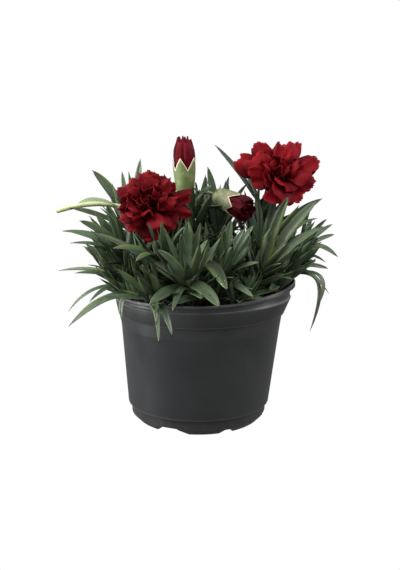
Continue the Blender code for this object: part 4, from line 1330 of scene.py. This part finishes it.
PETAL_ROWS = 14
PETAL_COLUMNS = 24
PETAL_WALL = 0.30
TOOTH_DEPTH = 0.020
CALYX_SIDES = 60
CALYX_ROWS = 14
CALYX_WALL = 0.45
CALYX_FOOT = -1.0
CALYX_RIBS = 50
# Height between the teeth as a share of the calyx, on an open flower and on a bud
OPEN_NOTCH = 0.78
BUD_NOTCH = 0.80
# How strongly the inner petals of a flower turn about its axis, and how far they rise first
SWIRL = 0.8
FRILL_RISE = 7.0
# Layers of a bud from the outside in: count, height, spread and how far each petal wraps round
FURLED_LAYERS = ((5, 0.86, 0.94, 0.95), (5, 0.98, 0.76, 1.0), (4, 1.0, 0.52, 1.1), (3, 0.94, 0.26, 1.3))


def model_petal():
    """One flat petal: X runs from the claw to the toothed edge, Y from side to side."""
    petal = add_sheet(PETAL_ROWS, PETAL_COLUMNS)
    edge = sorted(v.co.y for v in petal.data.vertices if v.co.x > 0.999)
    edit(petal)
    notches = edge[1::2]
    pick(petal, lambda co: co.x > 0.999 and min(abs(co.y - y) for y in notches) < 1e-4)
    bpy.ops.transform.translate(value=(-TOOTH_DEPTH, 0, 0))
    close_edit()
    return petal


def lay_petal(template_object, petal, random):
    """Bends a copy of the petal on its solid's curve, with broad waves and a small frill at its edge."""
    template = read_points(template_object.data)
    s, t = template[:, 0:1].copy(), 2 * template[:, 1:2]
    draw = random.uniform(0, 2 * math.pi, 7)
    edge = np.clip((s - 0.65) / 0.35, 0, 1)
    ragged = 0.034 * np.sin(4.0 * t + draw[0]) + 0.014 * np.sin(13.0 * t + draw[1])
    s = s - edge * (0.03 * t * t + 0.17 * t ** 6 - ragged)
    centre, side, up = middle_line((petal.throat, petal.bend, petal.tip), petal.face, s)
    half = petal.width * (0.10 + 0.43 * np.minimum(1.0, s / 0.75) ** 1.3) * (1 - 0.06 * edge ** 2)
    fold = petal.ruffle * 1.30 * s ** 1.5 * np.sin(3.2 * t + petal.phase + 1.2 * s)
    frill = petal.ruffle * 0.45 * s ** 3 * np.sin(8.0 * t + draw[2])
    crimp = 0.16 * s ** 3 * np.sin(20.0 * t + draw[3])
    curl = -0.10 * petal.width * t * t * s
    cup = petal.width * random.uniform(-0.10, 0.30) * np.maximum(0.0, s - 0.35) ** 2
    lengthwise = 0.8 * np.sin(4.0 * s + draw[4]) * s
    sway = 0.10 * petal.width * s * s * np.sin(draw[5])
    return centre + side * (half * t + sway) + up * (fold + frill + crimp + curl + cup + lengthwise)


def frill_petals(flower, rings, random):
    """Smaller petals that fill a double flower: rings of (count, opening, length, width, ruffle)."""
    base, direction, length, mouth, _ = flower
    side, up = flower_axes(direction)
    petals = []
    for count, opening, reach, width, ruffle in rings:
        start = random.uniform(0, 2 * math.pi)
        for k in range(count):
            angle = start + 2 * math.pi * k / count + random.uniform(-0.25, 0.25)
            tilt = math.radians(opening + random.uniform(-7, 7))
            grown = reach * random.uniform(0.88, 1.1)
            outward = side * math.cos(angle) + up * math.sin(angle)
            swirl = direction.cross(outward) * SWIRL
            throat = base + direction * (1.02 * length) + outward * (0.35 * mouth * math.sin(tilt))
            tip = throat + direction * (FRILL_RISE + grown * math.cos(tilt))
            tip += outward * (grown * math.sin(tilt))
            bend = throat + direction * (FRILL_RISE + 0.5 * grown) + (outward + swirl) * (0.20 * grown)
            face = direction - outward * 0.2 + swirl * 0.5
            phase = random.uniform(0, 2 * math.pi)
            wide = width * random.uniform(0.85, 1.15)
            petals.append(Petal(throat, bend, tip, face, wide, ruffle, phase, None))
    return petals


def dress_bloom(name, petals, petal_sheet, material, random):
    copies = []
    for petal in petals:
        points = lay_petal(petal_sheet, petal, random)
        copy = copy_of(petal_sheet, points, material, {"tone": random.uniform(0.15, 0.95)})
        copies.append(close_sheet(copy, PETAL_WALL * MM))
    return join(name, copies)


def furled_petals(name, flower, reach, shape, petal_sheet, material, random):
    """Petals wrapped round each other in a bud, with ragged toothed tips."""
    base, direction, length, mouth, _ = flower
    side, up = (np.array(vector) for vector in around(direction))
    axis = np.array(direction)
    template = read_points(petal_sheet.data)
    s, t = template[:, 0:1], 2 * template[:, 1:2]
    copies = []
    for layer, (count, top, spread, wrap) in enumerate(FURLED_LAYERS):
        for k in range(count):
            turn = 2 * math.pi * (k + 0.5 * (layer % 2)) / count + random.uniform(-0.2, 0.2)
            rise = length * 0.45 + reach * top * random.uniform(0.84, 1.03)
            ragged = 0.020 * np.sin(8.0 * t + random.uniform(0, 6.3)) * s
            high = length * 0.55 + rise * (s - (0.06 * t * t + 0.14 * t ** 4) * s + ragged)
            angle = turn + wrap * t * (0.60 + 0.25 * s)
            belly = np.interp(s, (0.0, 0.35, 0.6, 0.82, 1.0), shape)
            folds = 0.55 * t + 0.7 * s * np.sin(5.0 * t + random.uniform(0, 6.3)) + 0.3 * np.sin(11.0 * t)
            radius = mouth * spread * belly * random.uniform(0.93, 1.04) + folds
            out = side * np.cos(angle) + up * np.sin(angle)
            points = np.array(base) + axis * high + out * np.maximum(radius, 0.4)
            copy = copy_of(petal_sheet, points, material, {"tone": random.uniform(0.0, 1.0)})
            copies.append(close_sheet(copy, PETAL_WALL * MM))
    return join(name, copies)


def dress_calyx(cup, flower, notch, material):
    """Shapes a copy of the cup into a calyx of five joined sepals with pointed teeth."""
    base, direction, length, mouth, teeth = flower
    side, up = (np.array(vector) for vector in around(direction))
    template = read_points(cup.data)
    turn = np.arctan2(template[:, 1], template[:, 0])
    fifth = 2 * math.pi / 5
    off_tooth = np.abs((turn + fifth / 2) % fifth - fifth / 2) / (fifth / 2)
    tooth = np.maximum(0.0, 1 - off_tooth)
    top = length * (notch + (teeth - notch) * tooth)
    along = CALYX_FOOT + (top - CALYX_FOOT) * template[:, 2]
    heights = [CALYX_FOOT, 0.2, 1.5] + [share * length for share in (0.18, 0.35, 0.72, 0.86, teeth)]
    radii = [1.3] + [share * mouth for share in (0.40, 0.62, 0.77, 0.86, 0.98, 1.0)] + [mouth + 0.8]
    radius = np.interp(along, heights, radii)
    radius *= 1 - 0.035 * off_tooth ** 4
    out = side * np.cos(turn)[:, None] + up * np.sin(turn)[:, None]
    points = np.array(base) + np.array(direction) * along[:, None] + out * radius[:, None]
    slope = (teeth - notch) * length / (mouth * fifth / 2)
    rim = (top - along) / math.hypot(1.0, slope)
    calyx = copy_of(cup, points, material, {"rim": rim})
    return close_sheet(calyx, CALYX_WALL * MM)


# Pot and soil

POT_SEGMENTS = 192
EDGE_RADIUS = 0.45
# Edges sharper than the first angle are rounded, and shading is smooth up to the second
ROUNDED_ANGLE = math.radians(16)
SMOOTH_ANGLE = math.radians(40)
NOTCH_REACH = 18.0
DRAIN_SEGMENTS = 40
DRAIN_CUT = 8.0
SOIL_SEGMENTS = 96
SOIL_RINGS = 34
# Lumps of the soil's top: their size in metres and their height
LUMP_SIZE = 0.0045
LUMP_HEIGHT = 2.4
CRUMBS = 900
CRUMB_AREA = 64.0
CHALK_SHARE = 0.03


def model_pot(material):
    """The pot's wall drawn ring by ring."""
    outside, inside = pot_profile()
    pot = turn_shape(outside + inside, POT_SEGMENTS, bpy.ops.mesh.edge_face_add)
    pot.data.materials.append(material)
    return pot


def cut_openings(pot):
    """Notches between the feet and round drain holes, each cut with a shape of its own."""
    cutters = []
    for angle, width, height in NOTCHES:
        deselect()
        middle = math.radians(angle)
        half = math.radians(width / 2) * HEEL_RADIUS
        reach = (FOOT_INNER_RADIUS + HEEL_RADIUS) / 2
        place = Vector((reach * math.sin(middle), -reach * math.cos(middle), 0)) * MM
        bpy.ops.mesh.primitive_cube_add(size=1.0)
        cutter = bpy.context.object
        cutter.scale = (2 * half * MM, NOTCH_REACH * MM, 2 * height * MM)
        bpy.ops.object.transform_apply(scale=True)
        edit(cutter)
        pick(cutter, lambda co: co.z > 0)
        bpy.ops.transform.resize(value=(NOTCH_TAPER, 1, 1), center_override=(0, 0, 0))
        pick(cutter, lambda co: co.z < 0)
        bpy.ops.transform.resize(value=(2 - NOTCH_TAPER, 1, 1), center_override=(0, 0, 0))
        pick(cutter, lambda co: co.z > 0 and co.y > 0)
        bpy.ops.transform.translate(value=(0, 0, min(0.0, FLOOR_BOTTOM - 1.0 - height) * MM))
        close_edit()
        cutter.data.transform(Matrix.Translation(place) @ Matrix.Rotation(middle, 4, "Z"))
        cutters.append(cutter)
    for index in range(DRAIN_HOLES):
        deselect()
        turn = 2 * math.pi * (index + 0.5) / DRAIN_HOLES
        place = Vector((math.sin(turn), -math.cos(turn), 0)) * (DRAIN_HOLE_CIRCLE * MM)
        bpy.ops.mesh.primitive_cylinder_add(
            vertices=DRAIN_SEGMENTS, radius=DRAIN_HOLE_RADIUS * MM, depth=DRAIN_CUT * MM,
            location=place + Vector((0, 0, (FLOOR_BOTTOM + WALL) * MM)))
        cutters.append(bpy.context.object)
    cutter = join("cutter", cutters)
    bpy.ops.object.transform_apply(location=True)
    opening = pot.modifiers.new("Openings", "BOOLEAN")
    opening.operation = "DIFFERENCE"
    opening.object = cutter
    apply_modifier(pot, opening)
    bpy.data.objects.remove(cutter)


def finish_pot(pot):
    """Rounds the edges, then pulls the lip up and out on one side as on the real pot."""
    rounding = pot.modifiers.new("Rounding", "BEVEL")
    rounding.width = EDGE_RADIUS * MM
    rounding.segments = 2
    rounding.limit_method = "ANGLE"
    rounding.angle_limit = ROUNDED_ANGLE
    apply_modifier(pot, rounding)
    points = [lift_lip(Vector(point)) for point in read_points(pot.data) / MM]
    write_points(pot.data, np.array(points) * MM)
    select_only(pot)
    bpy.ops.object.shade_smooth_by_angle(angle=SMOOTH_ANGLE)
    pot.name = "pot_shell"
    return pot


def model_soil(material):
    """The body of the mix with a crumbly top."""
    side = WALL + SEAT_GAP
    low = FLOOR_BOTTOM + WALL + SEAT_GAP
    rim = BODY_TOP_RADIUS - side
    profile = [(HEEL_RADIUS - side, low), (HEEL_RADIUS - side, LOWER_STEP - 1.0),
               (BODY_BOTTOM_RADIUS - side, LOWER_STEP + 0.9), (rim - 0.4, SOIL_TOP - 2.0)]
    profile += [(rim * (1 - k / SOIL_RINGS), SOIL_TOP) for k in range(SOIL_RINGS)]
    soil = turn_shape(profile, SOIL_SEGMENTS, lambda: bpy.ops.mesh.merge(type="CENTER"))
    points = read_points(soil.data) / MM
    top = points[:, 2] > SOIL_TOP - 1.0
    points[top, 2] = [soil_height(x, y) for x, y in points[top, :2]]
    write_points(soil.data, points * MM)
    group = soil.vertex_groups.new(name="top")
    group.add([int(i) for i in np.flatnonzero(top)], 1.0, "REPLACE")
    roughen(soil, "peat_lumps", LUMP_SIZE, LUMP_HEIGHT * MM, 4, direction="Z", vertex_group="top")
    mark(soil.data, "tone", 0.25)
    mark(soil.data, "chalk", 0.0)
    soil.data.materials.append(material)
    soil.name = "soil_body"
    return soil


def model_crumbs(soil, material, random):
    """Loose peat crumbs and a few pale grains on the soil, seated in its surface."""
    deselect()
    bpy.ops.mesh.primitive_ico_sphere_add(subdivisions=2, radius=1.0)
    lump = bpy.context.object
    roughen(lump, "crumb_lumps", 0.8, 0.9)
    template = read_points(lump.data)
    points = read_points(soil.data) / MM
    top = points[points[:, 2] > SOIL_TOP - 2.0]
    copies = []
    for _ in range(CRUMBS):
        radius = CRUMB_AREA * math.sqrt(random.uniform())
        angle = random.uniform(0, 2 * math.pi)
        x, y = radius * math.cos(angle), radius * math.sin(angle)
        near = np.argmin((top[:, 0] - x) ** 2 + (top[:, 1] - y) ** 2)
        size = 0.5 + 1.5 * random.uniform() ** 2.5
        chalk = 1.0 if random.uniform() < CHALK_SHARE else 0.0
        stretch = random.uniform((0.7, 0.6, 0.4), (1.7, 1.1, 0.8)) * size
        turned_lump = template * stretch
        spin = random.uniform(0, 2 * math.pi)
        turned_lump = turned_lump @ np.array(Matrix.Rotation(spin, 3, "Z")).T
        turned_lump = turned_lump @ np.array(Matrix.Rotation(random.normal(0, 0.3), 3, "X")).T
        place = np.array((x, y, top[near, 2] + 0.15 * size))
        copies.append(copy_of(lump, turned_lump + place, material,
                              {"tone": random.uniform() ** 2, "chalk": chalk}))
    bpy.data.objects.remove(lump)
    return join("soil_crumbs", copies)


# Water

# Places of the drops that show, as (x, z) on the plane through the pot's axis, seen from the front
DROP_SPOTS = [(12, 136), (39, 146), (15, 122), (20, 116), (23, 111), (48, 131), (-26, 128), (-4, 140)]
DROPS_AT_SPOT = 4
DROP_SCATTER = 2.5
TOP_DROPS = 30
# Least and greatest radius of a drop, and its height as a share of that
DROP_RADII = (0.28, 0.62)
DROP_SHARE = 0.62


def model_drops(foliage, material, random):
    """Water drops that sit on the leaves where they show in front, and on some leaves' upper sides."""
    points, faces = [], []
    for piece in foliage:
        start = len(points)
        points += [vertex.co / MM for vertex in piece.data.vertices]
        faces += [tuple(start + index for index in face.vertices) for face in piece.data.polygons]
    leaves = BVHTree.FromPolygons(points, faces)
    eye = Vector((0.0, -EYE_DISTANCE, EYE_HEIGHT))
    rays = []
    for x, z in DROP_SPOTS:
        for _ in range(DROPS_AT_SPOT):
            target = Vector((x + random.normal(0, DROP_SCATTER), 0, z + random.normal(0, DROP_SCATTER)))
            rays.append((eye, (target - eye).normalized()))
    for _ in range(TOP_DROPS):
        above = Vector((random.uniform(-90, 90), random.uniform(-80, 80), BOX_TOP + 20.0))
        rays.append((above, Vector((0, 0, -1))))
    deselect()
    bpy.ops.mesh.primitive_uv_sphere_add(segments=12, ring_count=7, radius=1.0)
    bead = bpy.context.object
    template = read_points(bead.data)
    copies = []
    for start, direction in rays:
        place, normal, _, _ = leaves.ray_cast(start, direction)
        if place is None or normal.z < 0.15 or normal.dot(direction) > 0:
            continue
        size = random.uniform(*DROP_RADII)
        side, up = across(normal, Vector((0, 1, 0)))
        lens = template * size * np.array((1.0, 1.0, DROP_SHARE))
        turned_lens = lens @ np.array([side, up, normal])
        copies.append(copy_of(bead, turned_lens + np.array(place + normal * 0.12), material, {}))
    bpy.data.objects.remove(bead)
    return join("water_drops", copies)


# The plant

# Rings of petals that fill each double flower: count, opening angle, length, width and ruffle
MORE_PETALS = {
    "bloom_left": [(7, 64, 25, 19, 3.0), (6, 44, 22, 17, 3.2), (5, 24, 19, 14, 3.0), (3, 8, 15, 11, 2.6)],
    "bloom_right": [(5, 68, 28, 22, 2.6), (5, 48, 24, 19, 2.8), (4, 28, 19, 15, 2.6), (3, 8, 15, 11, 2.4)],
}
# Dark, light and edge colour of each kind of petal
LEFT_PETAL = ((0.094, 0.0025, 0.0050), (0.138, 0.0038, 0.0066), (0.072, 0.003, 0.009))
RIGHT_PETAL = ((0.096, 0.0022, 0.0048), (0.185, 0.0036, 0.0072), (0.088, 0.003, 0.009))
BUD_PETAL = ((0.034, 0.0012, 0.0040), (0.100, 0.0024, 0.0062), (0.024, 0.002, 0.006))
# Foot, mouth, rib and mottling colour of each kind of calyx
CALYX_GREEN = ((0.092, 0.125, 0.036), (0.106, 0.138, 0.050), (0.064, 0.095, 0.026), (0.220, 0.245, 0.125))
CALYX_PALE = ((0.055, 0.076, 0.024), (0.128, 0.136, 0.066), (0.066, 0.078, 0.032), (0.220, 0.195, 0.110))
# Reach of each bud's furled petals and how wide they stand at five heights, in shares of the mouth
BUDS = {
    "bud_upright": (UPRIGHT_REACH, (0.72, 0.90, 1.0, 0.94, 0.70)),
    "bud_side": (SIDE_REACH, (0.72, 0.92, 1.06, 1.12, 1.08))}


def dress_plant():
    random = np.random.default_rng(SEED + 1)
    thicket = Thicket()
    plant = grow_plant(thicket)
    extra = more_leaves(plant, thicket, random)
    materials = {
        "leaf": leaf_finish(), "stem": stem_finish(), "pale_stem": pale_stem_finish(),
        "bloom_left": petal_finish("petal_velvet_dark", *LEFT_PETAL),
        "bloom_right": petal_finish("petal_velvet", *RIGHT_PETAL),
        "bud": petal_finish("bud_velvet", *BUD_PETAL),
        "calyx": calyx_finish("calyx_skin", *CALYX_GREEN),
        "side_calyx": calyx_finish("calyx_skin_pale", *CALYX_PALE),
        "water": water_finish()}
    blade = model_blade()
    rod = add_tube(STEM_COLUMNS, STEM_ROWS, "NGON")
    petal_sheet = model_petal()
    cup = add_tube(CALYX_SIDES, CALYX_ROWS, "NOTHING")
    foliage = []
    for node in plant.stems:
        tube, blades = dress_stem(node, plant, extra, blade, rod, materials, random)
        if node.startswith("leafy"):
            foliage.append(join(node + "_fine", [tube] + blades))
            settle(foliage[-1], "leaf", node)
            continue
        hard = [tube]
        if node in plant.flowers:
            notch = OPEN_NOTCH if plant.flowers[node].teeth == OPEN_TEETH else BUD_NOTCH
            skin_name = "side_calyx" if node == "flower_stem_side" else "calyx"
            hard.append(dress_calyx(cup, plant.flowers[node], notch, materials[skin_name]))
        settle(join(node + "_fine", hard), "flower_stem", node)
        if blades:
            settle(join(node + "_leaves", blades), "leaf", node)
    for node, rings in MORE_PETALS.items():
        petals = plant.petals[node] + frill_petals(plant.flowers[flower_stem_of(node)], rings, random)
        settle(dress_bloom(node + "_fine", petals, petal_sheet, materials[node], random), "petal", node)
    for node, (reach, shape) in BUDS.items():
        flower = plant.flowers[flower_stem_of(node)]
        bud = furled_petals(node + "_fine", flower, reach, shape, petal_sheet, materials["bud"], random)
        settle(bud, "petal", node)
    settle(model_drops(foliage, materials["water"], random), "leaf")
    for template in (blade, rod, petal_sheet, cup):
        bpy.data.objects.remove(template)


def dress_pot():
    pot = model_pot(plastic_finish())
    cut_openings(pot)
    settle(finish_pot(pot), "pot_plastic", "pot")
    peat = peat_finish()
    soil = model_soil(peat)
    crumbs = model_crumbs(soil, peat, np.random.default_rng(SEED + 2))
    settle(soil, "soil", "soil")
    settle(crumbs, "soil")


# Studio

# Place and size of each lamp in metres and its power in watts, and the point that they all face
LAMPS = {
    "key_top": ((0.15, -0.60, 1.25), (1.2, 0.9), 16.0),
    "left_side": ((-1.1, -0.25, 0.40), (0.5, 1.2), 38.0),
    "right_side": ((1.1, -0.05, 0.40), (0.4, 1.2), 8.0),
}
LAMP_TARGET = (0.0, 0.0, 0.12)
FLOOR_SIZE = 40.0
# Strength of the white light from below, where that from above is 1
LIGHT_FROM_BELOW = 0.22


def add_lamp(name, place, size, power):
    lamp = bpy.data.lights.new(name, "AREA")
    lamp.shape = "RECTANGLE"
    lamp.size, lamp.size_y = size
    lamp.energy = power
    light = bpy.data.objects.new(name, lamp)
    light.location = place
    light.rotation_euler = (Vector(LAMP_TARGET) - Vector(place)).to_track_quat("-Z", "Y").to_euler()
    bpy.context.scene.collection.objects.link(light)


def make_studio():
    """White paper below and white light all round, weaker from below, as in a light tent."""
    deselect()
    bpy.ops.mesh.primitive_plane_add(size=FLOOR_SIZE)
    floor = bpy.context.object
    floor.name = "floor"
    floor.visible_diffuse = floor.visible_glossy = floor.visible_transmission = False
    paper = Finish("white_paper", 1.0, Specular_IOR_Level=0.0, Emission_Strength=1.0)
    paper.colour((0.0, 0.0, 0.0, 1.0))
    paper.shader.inputs["Emission Color"].default_value = (1.0, 1.0, 1.0, 1.0)
    floor.data.materials.append(paper.material)
    world = bpy.data.worlds.new("studio")
    world.use_nodes = True
    nodes, links = world.node_tree.nodes, world.node_tree.links
    height = nodes.new("ShaderNodeSeparateXYZ")
    links.new(nodes.new("ShaderNodeTexCoord").outputs["Generated"], height.inputs[0])
    below = nodes.new("ShaderNodeMapRange")
    for name, value in (("From Min", -0.12), ("From Max", -0.01), ("To Min", LIGHT_FROM_BELOW)):
        below.inputs[name].default_value = value
    links.new(height.outputs[2], below.inputs["Value"])
    links.new(below.outputs[0], nodes["Background"].inputs["Strength"])
    nodes["Background"].inputs["Color"].default_value = (1.0, 1.0, 1.0, 1.0)
    bpy.context.scene.world = world
    bpy.context.scene.view_settings.view_transform = "Standard"
    for name, lamp in LAMPS.items():
        add_lamp(name, *lamp)


# The photograph is 400 x 570 pixels. Its focal length in pixels was fitted to the pot's rims, as were
# the camera's place beside the axis and the angle that it looks down, in radians.
PHOTO_HEIGHT = 570
FOCAL_PIXELS = 760.8
CAMERA_ASIDE = 1.4
CAMERA_PITCH = 0.196
SENSOR = 36.0


def make_camera():
    data = bpy.data.cameras.new("camera")
    data.sensor_width = SENSOR
    data.lens = FOCAL_PIXELS * SENSOR / PHOTO_HEIGHT
    data.clip_start = 0.01
    camera = bpy.data.objects.new("camera", data)
    camera.location = Vector((CAMERA_ASIDE, -EYE_DISTANCE, EYE_HEIGHT)) * MM
    camera.rotation_euler = (math.pi / 2 - CAMERA_PITCH, 0.0, 0.0)
    bpy.context.scene.collection.objects.link(camera)
    bpy.context.scene.camera = camera


dress_plant()
dress_pot()
make_studio()
make_camera()

bpy.context.view_layer.update()
